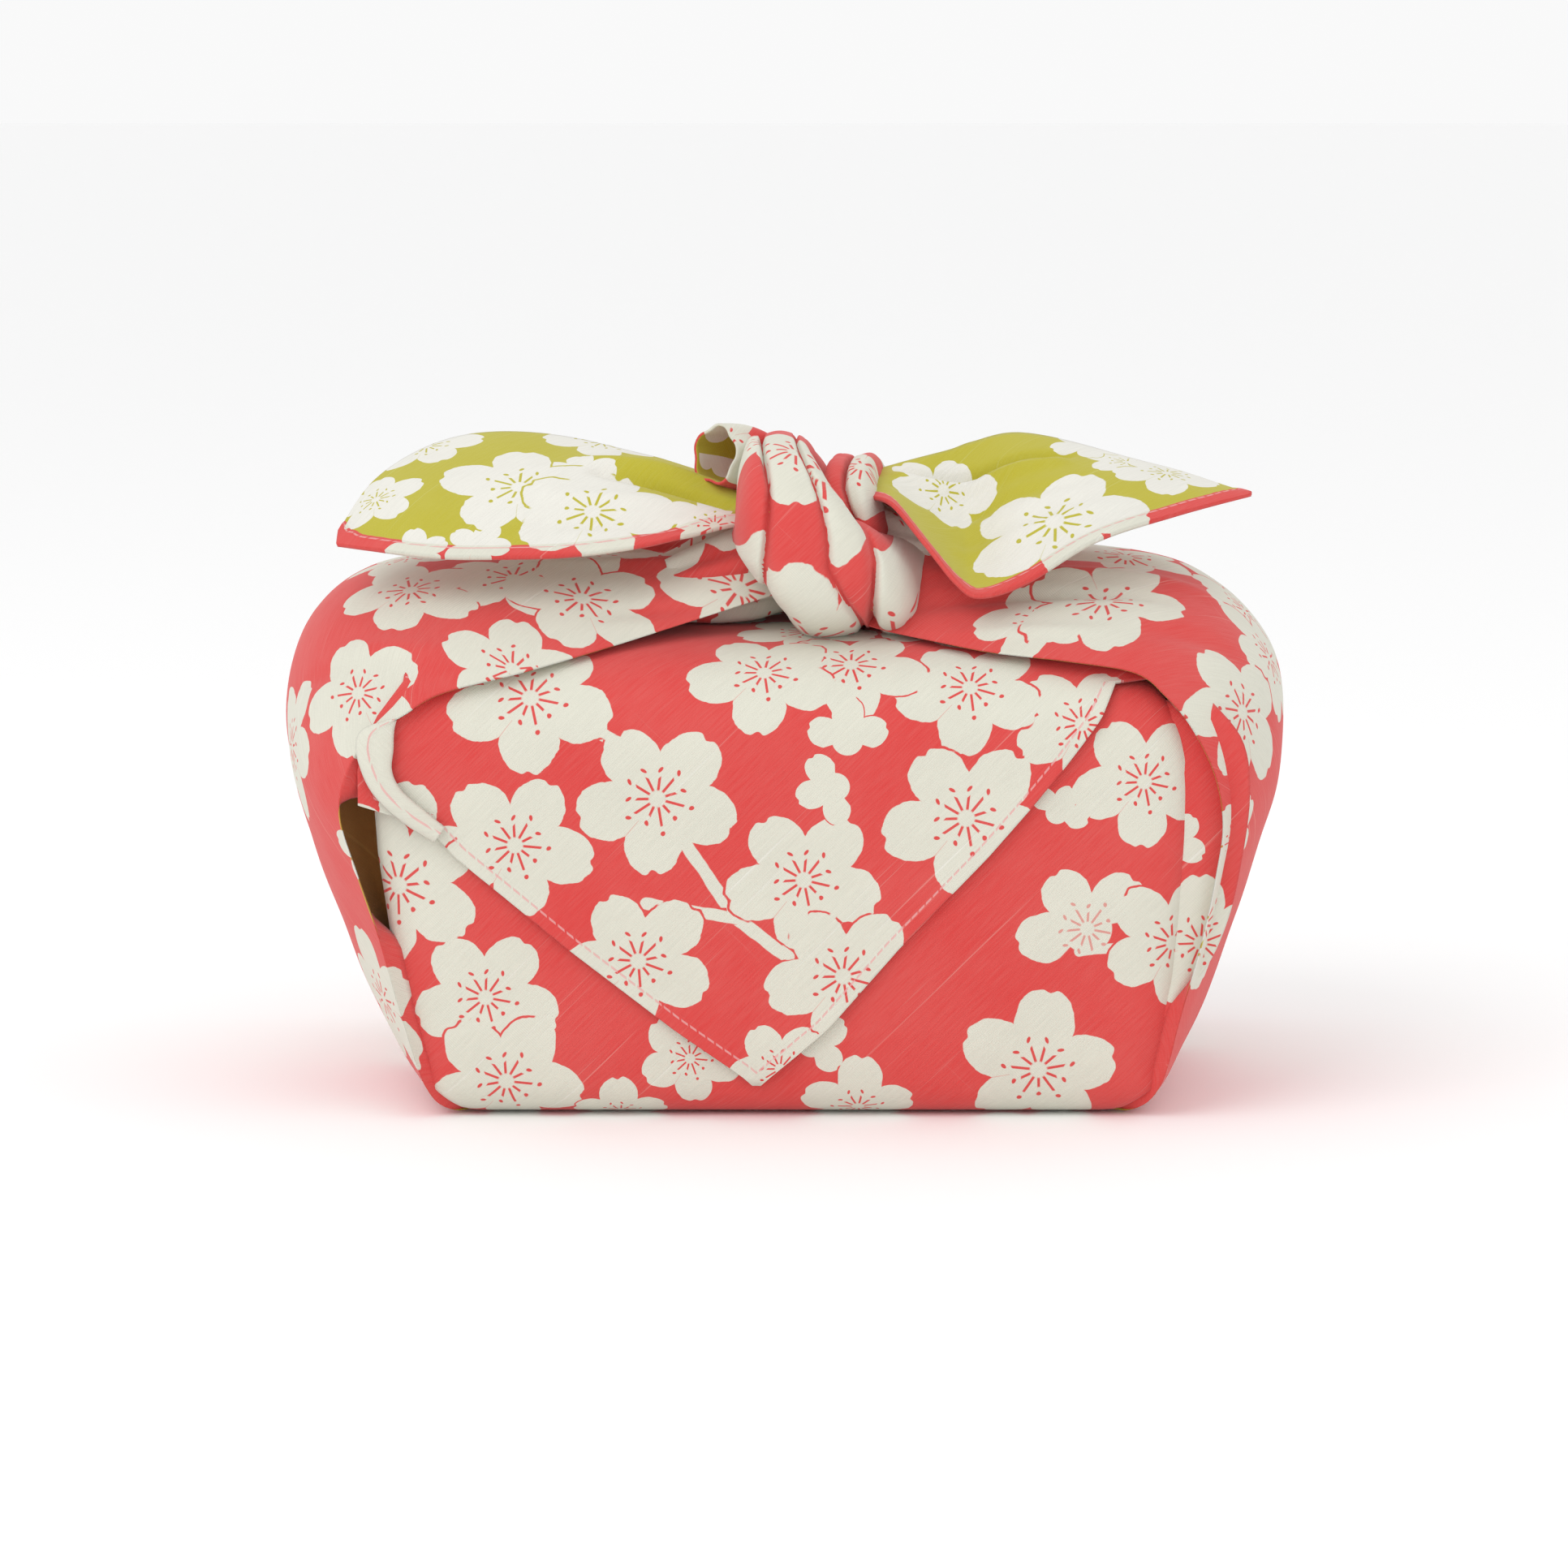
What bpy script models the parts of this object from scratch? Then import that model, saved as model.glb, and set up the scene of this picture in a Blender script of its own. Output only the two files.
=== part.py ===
"""Furoshiki wrap: one square cloth folded round a box, which is left out, and tied on top in a square knot.

The frame stands on the surface: +Z is up, the front looks along -Y, and the origin is under the middle of the
bottom. Tables are in millimetres and the meshes are made in metres.
"""

import math

import bmesh
import bpy
import numpy as np

MM = 0.001
PLY = 2.0  # thickness of the hollow's walls
FLAP_PLY = 2.2
TAIL_PLY = 1.8
LOWEST_WING = 0.6  # the wings start inside the bottom's wall

# The belt is the cloth round the bottom, the front, the top and the back, as a loop looked at from the side.
BELT_SIDE = (
    # y, z
    (0, 0), (-30, 0), (-57, 0), (-68, 4), (-71.5, 15), (-72.5, 35), (-74, 62), (-75.5, 90), (-74, 104),
    (-66, 114), (-50, 119.5), (-26, 122), (0, 123), (28, 122), (52, 119), (67, 112), (74, 101),
    (74, 84), (73, 60), (72, 35), (71, 15), (68, 4), (57, 0), (30, 0),
)
BELT_STEPS = 32
# The corner creases of the front and back panels, as x at a height.
BELT_LEFT = (
    # z, x
    (0, -84), (7, -90.7), (27, -96.5), (48, -100.5), (69, -103.5), (92, -104.5), (106, -100), (123, -92),
)
BELT_RIGHT = (
    # z, x
    (0, 88), (7, 95.5), (27, 99.7), (52, 101.7), (75, 103.3), (92, 103.6), (106, 100), (123, 92),
)
# Past a crease the cloth turns in: how far along and how deep it goes, from the crease.
RETURN_X = (-7, -3, -0.7, 0, 0)
RETURN_DEPTH = (0, 0.3, 1.6, 4, 11)
BELT_COLUMNS = 5

# A wing is a side of the cloth, drawn up from under the bottom, over the shoulder and into the knot.
# One row for each section: its front edge, its crest, and where its back edge lies.
LEFT_WING = (
    # front x, y, z, crest x, y, z, back y
    (-78, -58, 1, -78, 0, 1, 58),
    (-87, -67, 2, -90, 0, 2, 67),
    (-91.8, -71, 9, -99, 0, 9, 71),
    (-98, -74, 29.7, -110, 0, 28, 73.6),
    (-105.3, -75, 49, -118.5, 0, 47, 74.6),
    (-109.6, -76, 64, -125.5, 0, 65, 75),
    (-112, -77, 78.4, -130, 0, 82, 76),
    (-110.7, -78, 89, -132, 0, 97, 77),
    (-105, -78.5, 99, -130, 0, 112, 77),
    (-95.3, -78.2, 105.3, -124, 0, 124.5, 77),
    (-86, -75.8, 110.4, -114, 0, 133.5, 76),
    (-66, -72, 115.2, -98, 0, 138.5, 74),
    (-45, -62, 120.4, -70, -2, 141.5, 67),
    (-26, -52.5, 125.5, -40, -8, 144, 50),
    (-10, -46, 130, -14, -17, 147, 26),
    (6, -36, 134, 4, -20, 147, 8),
)
RIGHT_WING = (
    # front x, y, z, crest x, y, z, back y
    (81, -58, 1, 81, 0, 1, 58),
    (91, -67, 2, 93, 0, 2, 67),
    (96.3, -71, 9, 102, 0, 8, 71),
    (100.8, -74, 27, 113, 0, 25, 73.6),
    (106, -75.2, 47, 120.5, 0, 46, 74.6),
    (109.5, -76, 65, 126.5, 0, 65, 75),
    (110.8, -77, 77.5, 131, 0, 81, 76),
    (108.5, -78, 90, 132.7, 0, 96, 77),
    (102.5, -78, 102, 131.5, 0, 110, 77),
    (96, -76.5, 109.7, 126, 0, 121, 77),
    (88.5, -73.5, 115.3, 117, 0, 130, 76),
    (72, -71, 117.9, 104, 0, 137, 75),
    (53, -65, 119.5, 84, -2, 140.5, 70),
    (38, -58, 121.7, 56, -8, 143, 56),
    (24, -50, 124, 28, -15, 146, 30),
    (8, -38, 128, 8, -20, 147, 10),
)
WING_ROWS = 19
WING_STEPS = 15
WING_ROUNDING = 2.4  # how squarely a section leaves its edge before it runs to the crest
TUCK_DEEP = 1.1  # how deep an edge's tuck reaches into the belt's wall
TUCK_ALONG = 1.5  # how far it runs back under the wing
ROOF_Z = 106  # the belt's outer face looks up above this
LOOP_FINE = 240
FOLD_IN, FOLD_OUT = 4.5, 0.8  # the free fold's return, back from the edge and outwards
GAP_ROWS = (3.6, 6.3)  # the sections between which the left wing's front edge stands off the panel

# The flap is the corner brought over from the back: its two edges and how far it stands off the panel.
FLAP = (
    # z, left x, right x
    (113, -96, 84),
    (104, -103, 80),
    (92, -107.5, 71),
    (81.5, -107.5, 62.5),
    (78, -91.5, 59.5),
    (68.6, -83, 51.5),
    (44.8, -54.6, 29),
    (23.9, -28, 11),
    (12, -11, -3),
    (9, -7.5, -6.5),
)
FRONT_Y = -60  # the belt's places in front of this are its front panel
FLAP_STEPS = 6
FLAP_STANDS_OFF = 1.4

# The knot's bights are pleated bands that run round the strands.
# One row for each: middle of the loop, its reach in y and z, half widths at bottom and top, slant and turn.
BIGHTS = {
    "main": dict(middle=(8, -25, 146.5), reach=(40, 26.5), half=(22, 12.5), slant=-9.5, turn=0, pleats=4),
    "second": dict(middle=(20, -6, 150), reach=(23, 15.5), half=(12, 10), slant=0, turn=-14, pleats=3),
}
BIGHT_ROUND = 24
BIGHT_ACROSS = 13
PLEAT_DEEP = 1.5
BAND_SQUARE, BAND_EDGE = 5, 0.4  # how flat a band is across, and how steep its sides are
LOOP_BELOW, LOOP_ABOVE = 0.62, 0.85  # how square its loop is below and above the middle, from 1, an ellipse
CORE = dict(middle=(8, -18, 141), radii=(27, 26, 17), segments=14, rings=8)

# The roll is a bight's turned side, an open tube at the knot's top left.
ROLL_PATH = (
    # x, y, z
    (6, -8, 156), (-4, -14, 162), (-12, -19, 165.5), (-18, -25, 167),
)
ROLL_RADIUS = (6.5, 8.3, 9, 8.3)
ROLL_SIDES = 12
ROLL_HOLE = (3.6, 6.0, 7.2)  # the hole's radius at its end, at the roll's mouth and past it
ROLL_DEEP = 7.0
ROLL_PAST = 3.5

# A tail is a free corner of the cloth: one row for each section, with its front and back edges and its belly.
LEFT_TAIL = (
    # x, front y, front z, back y, back z, belly
    (0, -34, 151, -12, 157, 0),
    (-20, -45, 149, -8, 161, 3),
    (-36, -52, 145.5, -3, 165.5, 5),
    (-57, -55, 143, 2, 169.5, 5),
    (-79, -55, 142.6, 2, 171, 4),
    (-94, -53, 143.2, -4, 168, 3),
    (-107, -47, 144.3, -16, 160, 1.5),
    (-115.4, -41, 145, -36, 148, 0),
)
RIGHT_TAIL = (
    # x, front y, front z, back y, back z, belly
    (14, -36, 158, -10, 160, 0),
    (27, -44, 156.3, -6, 162.5, 0),
    (36, -52, 146.1, -2, 164.5, -2),
    (44.3, -57, 136.2, 2, 166.5, -3),
    (50.2, -59, 133.3, 4, 168.5, -3),
    (62, -56, 136.5, 6, 170.7, 2),
    (80, -50, 146.5, 2, 167.3, 3),
    (101, -40, 152.7, -8, 162.5, 2),
    (119.4, -28, 156.5, -24, 158.5, 0),
)
TAIL_ROWS = 14
TAIL_STEPS = 6
BELLY_FORWARD, BELLY_UP = 0.5, 0.9  # which way a tail's belly stands off its straight section

CORAL = (0.78, 0.12, 0.11, 1)
CLOTH_ROUGHNESS = 0.9


def clear_scene():
    for obj in list(bpy.data.objects):
        bpy.data.objects.remove(obj, do_unlink=True)


def spline(rows, count, closed=False):
    """This many points, or rows of points, evenly along a smooth curve through the rows given."""
    rows = np.asarray(rows, float)
    spans = len(rows) if closed else len(rows) - 1
    along = np.linspace(0, spans, count, endpoint=not closed)
    start = np.minimum(along.astype(int), spans - 1)
    t = (along - start).reshape(-1, *[1] * (rows.ndim - 1))

    def row(index):
        return rows[index % len(rows)] if closed else rows[np.clip(index, 0, len(rows) - 1)]

    a, b, c, d = row(start - 1), row(start), row(start + 1), row(start + 2)
    return b + 0.5 * t * (c - a + t * (2 * a - 5 * b + 4 * c - d + t * (3 * b - 3 * c + d - a)))


def unit(vectors):
    return vectors / np.maximum(np.linalg.norm(vectors, axis=-1, keepdims=True), 1e-9)


def slopes(grid, axis, closed):
    if closed:
        return np.roll(grid, -1, axis) - np.roll(grid, 1, axis)
    return np.gradient(grid, axis=axis)


def solid(name, points, faces):
    mesh = bpy.data.meshes.new(name)
    mesh.from_pydata((np.asarray(points) * MM).tolist(), [], faces)
    obj = bpy.data.objects.new(name, mesh)
    bpy.context.scene.collection.objects.link(obj)
    return obj


def quads(rows, columns, closed, flipped=False):
    """The faces of a grid, as numbers into its points."""
    found = []
    for i in range(rows - 1):
        for j in range(columns if closed else columns - 1):
            k = (j + 1) % columns
            face = (i * columns + j, i * columns + k, (i + 1) * columns + k, (i + 1) * columns + j)
            found.append(face[::-1] if flipped else face)
    return found


def thick_sheet(name, grid, thickness, closed=False):
    """A closed solid of a sheet whose outer face is the grid. Its columns run closed on a loop."""
    rows, columns = grid.shape[:2]
    normal = unit(np.cross(slopes(grid, 0, False), slopes(grid, 1, closed)))
    inner = grid - normal * thickness
    inner[..., 2] = np.maximum(inner[..., 2], grid[..., 2].min())
    count = rows * columns
    faces = quads(rows, columns, closed, flipped=True)
    faces += [tuple(i + count for i in face) for face in quads(rows, columns, closed)]
    for row in (0, rows - 1):
        for j in range(columns if closed else columns - 1):
            a = row * columns + j
            b = row * columns + (j + 1) % columns
            rim = (a, b, b + count, a + count)
            faces.append(rim if row == 0 else rim[::-1])
    if not closed:
        for column in (0, columns - 1):
            for i in range(rows - 1):
                a = i * columns + column
                b = a + columns
                rim = (a, b, b + count, a + count)
                faces.append(rim[::-1] if column == 0 else rim)
    points = np.concatenate([grid.reshape(-1, 3), inner.reshape(-1, 3)])
    return facing_out(solid(name, points, faces))


def facing_out(obj):
    """Turns the faces of a closed solid outwards."""
    mesh = obj.data
    mesh.calc_loop_triangles()
    points = np.array([vertex.co for vertex in mesh.vertices])
    corners = points[np.array([triangle.vertices for triangle in mesh.loop_triangles])]
    if np.linalg.det(corners).sum() < 0:
        mesh.flip_normals()
    return obj


def belt():
    """The bottom, front, top and back, an open loop with its side edges turned in."""
    loop = spline(BELT_SIDE, BELT_STEPS, closed=True)
    loop[:, 1] = np.maximum(loop[:, 1], 0)
    inwards = unit(slopes(loop, 0, True))
    inwards = np.stack([inwards[:, 1], -inwards[:, 0]], axis=1)
    left = np.interp(loop[:, 1], *zip(*BELT_LEFT))
    right = np.interp(loop[:, 1], *zip(*BELT_RIGHT))
    places = []
    for along, deep in zip(RETURN_X[::-1], RETURN_DEPTH[::-1]):
        places.append((left - along, deep))
    for share in np.linspace(0, 1, BELT_COLUMNS)[1:-1]:
        places.append((left + share * (right - left), 0))
    for along, deep in zip(RETURN_X, RETURN_DEPTH):
        places.append((right + along, deep))
    grid = np.zeros((len(places), BELT_STEPS, 3))
    for row, (x, deep) in enumerate(places):
        grid[row, :, 0] = x
        grid[row, :, 1:] = loop + inwards * deep
    return thick_sheet("belt", grid, PLY, closed=True)


def tuck(edge, side, loop):
    """Where a wing's edge turns in to the belt: the nearest place on its loop, inside the crease."""
    nearest = loop[np.argmin(np.hypot(loop[:, 0] - edge[1], loop[:, 1] - edge[2]))]
    crease = np.interp(nearest[1], *zip(*(BELT_RIGHT if side > 0 else BELT_LEFT)))
    x = side * min(side * edge[0] - TUCK_ALONG, side * crease - TUCK_DEEP)
    y = nearest[0] - TUCK_DEEP * np.sign(nearest[0])
    return np.array((x, y, nearest[1] - TUCK_DEEP * (nearest[1] > ROOF_Z)))


def wing_section(row, side, stand_off, loop):
    """The points of one section, from the tuck behind the front edge, over the crest, to the tuck at the back."""
    front, crest, back_y = row[:3], row[3:6], row[6]
    back = np.array((front[0], back_y, front[2]))
    share = np.linspace(0, 1, WING_STEPS // 2 + 1)
    rise = 1 - (1 - share) ** WING_ROUNDING
    halves = []
    for edge in (front, back):
        half = edge + (crest - edge) * rise[:, None]
        half[:, 1] = edge[1] + (crest[1] - edge[1]) * share
        halves.append(half)
    front_tuck = front + (side * FOLD_OUT, FOLD_IN, 0) if stand_off else tuck(front, side, loop)
    return np.concatenate([[front_tuck], halves[0], halves[1][-2::-1], [tuck(back, side, loop)]])


def wing(name, table, side, gap=None):
    """A wing's sheet. Side is -1 for the left and 1 for the right."""
    rows = spline(table, WING_ROWS)
    numbers = np.linspace(0, len(table) - 1, WING_ROWS)
    loop = spline(BELT_SIDE, LOOP_FINE, closed=True)
    grid = []
    for number, row in zip(numbers, rows):
        stand_off = gap is not None and gap[0] <= number <= gap[1]
        grid.append(wing_section(row, side, stand_off, loop))
    grid = np.array(grid)
    grid[..., 2] = np.maximum(grid[..., 2], LOWEST_WING)
    return thick_sheet(name, grid, -side * PLY)


def front_y(z):
    """Where the front panel's outer face stands at a height."""
    front = [(z_at, y_at) for y_at, z_at in BELT_SIDE if y_at < FRONT_Y]
    return np.interp(z, *zip(*front))


def flap():
    rows = np.array(FLAP, float)
    grid = []
    for z, left, right in rows:
        x = np.linspace(left, right, FLAP_STEPS)
        y = np.full(FLAP_STEPS, front_y(z) - FLAP_STANDS_OFF)
        grid.append(np.stack([x, y, np.full(FLAP_STEPS, z)], axis=1))
    return thick_sheet("flap", np.array(grid), FLAP_PLY)


def bight(name, middle, reach, half, slant, turn, pleats):
    """A pleated band round an axis along x: closed at both sides, and slanted as it goes up."""
    around = np.linspace(0, 2 * math.pi, BIGHT_ROUND, endpoint=False)
    across = np.sin(np.linspace(-math.pi / 2, math.pi / 2, BIGHT_ACROSS))
    grid = np.zeros((BIGHT_ACROSS, BIGHT_ROUND, 3))
    square = np.where(np.sin(around) < 0, LOOP_BELOW, LOOP_ABOVE)
    back = np.sign(np.cos(around)) * np.abs(np.cos(around)) ** square
    height = np.sign(np.sin(around)) * np.abs(np.sin(around)) ** square
    for row, w in enumerate(across):
        crown = max(1 - abs(w) ** BAND_SQUARE, 0) ** BAND_EDGE
        pleat = PLEAT_DEEP * (abs(math.sin(w * math.pi * pleats / 2)) - 0.5)
        width = np.interp(height, (-1, 1), half)
        grid[row, :, 0] = middle[0] + slant * height + w * width
        grid[row, :, 1] = middle[1] + (reach[0] * crown + pleat) * back
        grid[row, :, 2] = middle[2] + (reach[1] * crown + pleat) * height
    swing = math.radians(turn)
    x, y = grid[..., 0] - middle[0], grid[..., 1] - middle[1]
    grid[..., 0] = middle[0] + x * math.cos(swing) - y * math.sin(swing)
    grid[..., 1] = middle[1] + x * math.sin(swing) + y * math.cos(swing)
    return capped(name, grid[1:-1])


def capped(name, grid):
    """A closed solid of a grid whose columns run closed, with a point at the middle of each end."""
    rows, columns = grid.shape[:2]
    points = np.concatenate([grid.reshape(-1, 3), [grid[0].mean(axis=0)], [grid[-1].mean(axis=0)]])
    faces = quads(rows, columns, True)
    first, last = rows * columns, rows * columns + 1
    top = (rows - 1) * columns
    for j in range(columns):
        k = (j + 1) % columns
        faces.append((first, k, j))
        faces.append((last, top + j, top + k))
    return facing_out(solid(name, points, faces))


def core():
    """The strands that cross inside the knot, as one lump."""
    bpy.ops.mesh.primitive_uv_sphere_add(segments=CORE["segments"], ring_count=CORE["rings"])
    lump = bpy.context.object
    lump.name = "core"
    lump.data.name = "core"
    for vertex in lump.data.vertices:
        vertex.co = [(m + r * c) * MM for m, r, c in zip(CORE["middle"], CORE["radii"], vertex.co)]
    return lump


def tube(name, path, radii, sides):
    path = np.array(path, float)
    along = unit(slopes(path, 0, False))
    side = unit(np.cross(along, (0, 0, 1)))
    up = np.cross(side, along)
    turns = np.linspace(0, 2 * math.pi, sides, endpoint=False)[None, :, None]
    ring = side[:, None] * np.cos(turns) + up[:, None] * np.sin(turns)
    return capped(name, path[:, None] + ring * np.array(radii)[:, None, None])


def tail(name, table):
    rows = spline(table, TAIL_ROWS)
    grid = []
    for x, near_y, near_z, far_y, far_z, belly in rows:
        share = np.linspace(0, 1, TAIL_STEPS)
        bulge = belly * np.sin(math.pi * share)
        y = near_y + (far_y - near_y) * share - BELLY_FORWARD * bulge
        z = near_z + (far_z - near_z) * share + BELLY_UP * bulge
        grid.append(np.stack([np.full(TAIL_STEPS, x), y, z], axis=1))
    return thick_sheet(name, np.array(grid), TAIL_PLY)


def cloth_material():
    material = bpy.data.materials.new("printed_cotton")
    material.use_nodes = True
    shader = material.node_tree.nodes["Principled BSDF"]
    shader.inputs["Base Color"].default_value = CORAL
    shader.inputs["Roughness"].default_value = CLOTH_ROUGHNESS
    return material


def joined(first, operation, others, solver="MANIFOLD"):
    """Adds one Boolean for each of the others to the first."""
    for other in others:
        modifier = first.modifiers.new(operation.lower() + "_" + other.name, "BOOLEAN")
        modifier.operation = operation
        modifier.solver = solver
        modifier.object = other
        other.hide_render = True
        other.hide_set(True)
        other.display_type = "WIRE"
    return first


def largest_shell(obj):
    """Applies the Booleans and keeps the cloth's own surface, without the crumbs left where faces nearly meet."""
    bpy.context.view_layer.update()
    graph = bpy.context.evaluated_depsgraph_get()
    mesh = bpy.data.meshes.new_from_object(obj.evaluated_get(graph))
    whole = bmesh.new()
    whole.from_mesh(mesh)
    unseen = set(whole.faces)
    shells = []
    while unseen:
        shell = [unseen.pop()]
        for face in shell:
            near = {other for edge in face.edges for other in edge.link_faces} & unseen
            unseen -= near
            shell.extend(near)
        shells.append(shell)
    shells.sort(key=len)
    crumbs = [face for shell in shells[:-1] for face in shell]
    bmesh.ops.delete(whole, geom=crumbs, context="FACES")
    whole.to_mesh(mesh)
    whole.free()
    obj.modifiers.clear()
    obj.data = mesh


def main():
    clear_scene()
    wrap = belt()
    pieces = [
        wing("left_wing", LEFT_WING, -1, GAP_ROWS),
        wing("right_wing", RIGHT_WING, 1),
        flap(),
        core(),
        bight("main_bight", **BIGHTS["main"]),
        bight("second_bight", **BIGHTS["second"]),
        tube("roll", ROLL_PATH, ROLL_RADIUS, ROLL_SIDES),
        tail("left_tail", LEFT_TAIL),
        tail("right_tail", RIGHT_TAIL),
    ]
    joined(wrap, "UNION", pieces)
    before, mouth = np.array(ROLL_PATH[-2:], float)
    inward = unit(before - mouth)
    hole_path = (mouth + inward * ROLL_DEEP, mouth, mouth - inward * ROLL_PAST)
    hole = tube("roll_hole", hole_path, ROLL_HOLE, ROLL_SIDES)
    joined(wrap, "DIFFERENCE", [hole])
    largest_shell(wrap)
    for helper in pieces + [hole]:
        bpy.data.objects.remove(helper, do_unlink=True)
    wrap.name = "wrap"
    wrap.data.name = "wrap"
    wrap.data.materials.append(cloth_material())


main()
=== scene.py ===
"""A furoshiki: one square of printed slub cotton wrapped round a box and tied on top in a square knot.

Every stretch of the cloth that shows is a fine sheet on its solid's folds. Tables and curves are in
millimetres, as in the solid's source, and meshes are made in metres. Each sheet has a chart, its flat
coordinates on the cloth, on which its blossoms are placed and its weave runs.
"""

import math

import bpy
import numpy as np
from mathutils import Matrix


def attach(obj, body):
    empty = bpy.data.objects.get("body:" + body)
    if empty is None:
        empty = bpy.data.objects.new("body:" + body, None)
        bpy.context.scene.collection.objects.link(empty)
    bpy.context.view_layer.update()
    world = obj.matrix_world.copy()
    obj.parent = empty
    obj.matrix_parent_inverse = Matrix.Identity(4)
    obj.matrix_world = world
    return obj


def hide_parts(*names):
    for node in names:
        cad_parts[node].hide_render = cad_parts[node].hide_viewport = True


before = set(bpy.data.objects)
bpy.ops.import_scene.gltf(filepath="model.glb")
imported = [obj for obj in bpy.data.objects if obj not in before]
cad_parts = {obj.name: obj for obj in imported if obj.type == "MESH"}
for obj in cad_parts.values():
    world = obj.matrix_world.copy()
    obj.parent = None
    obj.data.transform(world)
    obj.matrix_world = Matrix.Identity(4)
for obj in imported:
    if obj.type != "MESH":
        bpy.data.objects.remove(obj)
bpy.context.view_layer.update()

MM = 0.001
CLOTH = 0.7  # cloth thickness
HEM = 4.4  # hem width
HEM_PLY, HEM_STEP = 0.45, 0.8  # what a hem's second ply adds, and over what width
NO_EDGE = 99.0  # the distance to a hem where there is none
CELL = 2.2  # size of a mesh cell
BODY = "root"
NODE = "wrap"

# The kinds of blossom.
OPEN, HALF_OPEN, BUD, BARE = 1, 2, 3, 4

# The camera's place and lens, from the photograph's view: nearly level, square to the front.
TARGET_Z = 76.8
CAMERA_AWAY = 1300.0
CAMERA_UP = 8.0
LENS = 111.3
SENSOR = 36.0

# The belt is the cloth round the bottom, the front, the top and the back, as a loop seen from the side.
BELT_SIDE = (
    # y, z
    (0, 0), (-30, 0), (-57, 0), (-68, 4), (-71.5, 15), (-72.5, 35), (-74, 62), (-75.5, 90),
    (-74, 104), (-66, 114), (-50, 119.5), (-26, 122), (0, 123), (28, 122), (52, 119), (67, 112),
    (74, 101), (74, 84), (73, 60), (72, 35), (71, 15), (68, 4), (57, 0), (30, 0),
)
FRONT_BEYOND = -60  # the loop's front face lies beyond this y
# Its creases, left and right.
BELT_LEFT = (
    # z, x
    (0, -84), (7, -90.7), (27, -96.5), (48, -100.5), (69, -103.5), (92, -104.5), (106, -100), (123, -92),
)
BELT_RIGHT = (
    # z, x
    (0, 88), (7, 95.5), (27, 99.7), (52, 101.7), (75, 103.3), (92, 103.6), (106, 100), (123, 92),
)
# Past a crease the belt turns in, one row for each column of its mesh.
RETURN = (
    # inside the crease, deep
    (13, 0), (8, 0.3), (4.4, 1.0), (1.8, 2.3), (0, 4.4), (0, 7), (0, 10), (0, 13),
)
FOOT, FOOT_TIGHT = (3, 16), 0.55  # up to these levels it turns in more tightly
# The belt's strip of cloth, in row numbers of its side, which fall from its start to its end: from under the
# flap at the top, down the front, under the bottom, up the back, over the top, and down again as the flap.
STRIP_START, STRIP_END, STRIP_SAMPLES = 10.5, -20.4, 3000
START_HIDES, START_DEEP = (8.4, 9.4), 1.2  # its start lies under the flap
CREASES_END = (6.5, 8.5)  # past the bottom, its sides stop turning in
FLAP_RISES, FLAP_PROUD = (10, 13.5), 1.6  # past the bottom, it comes out to the flap's place
HEM_FROM = 13
# Beside the flap's edges the columns lie this much closer, and closer still where it is narrower than this.
FLAP_MARGIN, NARROW = 0.25, 60
FOOT_LEVEL = 20  # the panel's chart is counted from this level down to the floor
RESTING = (0.5, 8)  # over these levels a sheet's unevenness comes up from the flat bottom

# The flap is the corner brought over from the back, hanging point down.
FLAP = (
    # z, left x, right x
    (113, -96, 84),
    (104, -103, 80),
    (92, -107.5, 71),
    (81.5, -107.5, 62.5),
    (78, -91.5, 59.5),
    (68.6, -83, 51.5),
    (44.8, -54.6, 29),
    (23.9, -28, 11),
    (12, -11, -3),
    (8.6, -7.3, -6.7),
)

# A wing is a side of the cloth, drawn up over the shoulder and into the knot, one row for each section.
LEFT_WING = (
    # front x, y, z, crest x, y, z, back y
    (-76, -56, 0.8, -76, 0, 0.8, 56),
    (-85.5, -64.5, 1.4, -89, 0, 1.5, 64),
    (-91.8, -71, 9, -99, 0, 9, 71),
    (-98, -74, 29.7, -110, 0, 28, 73.6),
    (-103, -75.6, 49, -118.5, 0, 47, 74.6),
    (-107.8, -76.4, 64, -125.5, 0, 65, 75),
    (-112, -77, 78.4, -130, 0, 82, 76),
    (-110.7, -78, 89, -132, 0, 97, 77),
    (-105, -78.5, 99, -130, 0, 112, 77),
    (-95.3, -78.2, 105.3, -124, 0, 124.5, 77),
    (-86, -75.8, 110.4, -114, 0, 133.5, 76),
    (-66, -72, 115.2, -98, 0, 138.5, 74),
    (-45, -62, 120.4, -70, -2, 141.5, 67),
    (-26, -52.5, 125.5, -40, -8, 144, 50),
    (-10, -46, 130, -14, -17, 147, 26),
    (6, -36, 134, 4, -20, 147, 8),
)
RIGHT_WING = (
    # front x, y, z, crest x, y, z, back y
    (79, -56, 0.8, 79, 0, 0.8, 56),
    (89.5, -64.5, 1.4, 92.5, 0, 1.5, 64),
    (96.3, -71, 9, 102, 0, 8, 71),
    (100.8, -74, 27, 113, 0, 25, 73.6),
    (106, -75.2, 47, 120.5, 0, 46, 74.6),
    (109.5, -76, 65, 126.5, 0, 65, 75),
    (110.8, -77, 77.5, 131, 0, 81, 76),
    (108.5, -78, 90, 132.7, 0, 96, 77),
    (102.5, -78, 102, 131.5, 0, 110, 77),
    (96, -76.5, 109.7, 126, 0, 121, 77),
    (88.5, -73.5, 115.3, 117, 0, 130, 76),
    (72, -71, 117.9, 104, 0, 137, 75),
    (53, -65, 119.5, 84, -2, 140.5, 70),
    (38, -58, 121.7, 56, -8, 143, 56),
    (24, -50, 124, 28, -15, 146, 30),
    (8, -38, 128, 8, -20, 147, 10),
)
WING_ROUNDING = 2.4
WING_ROWS, WING_HALF = 130, 44
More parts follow.
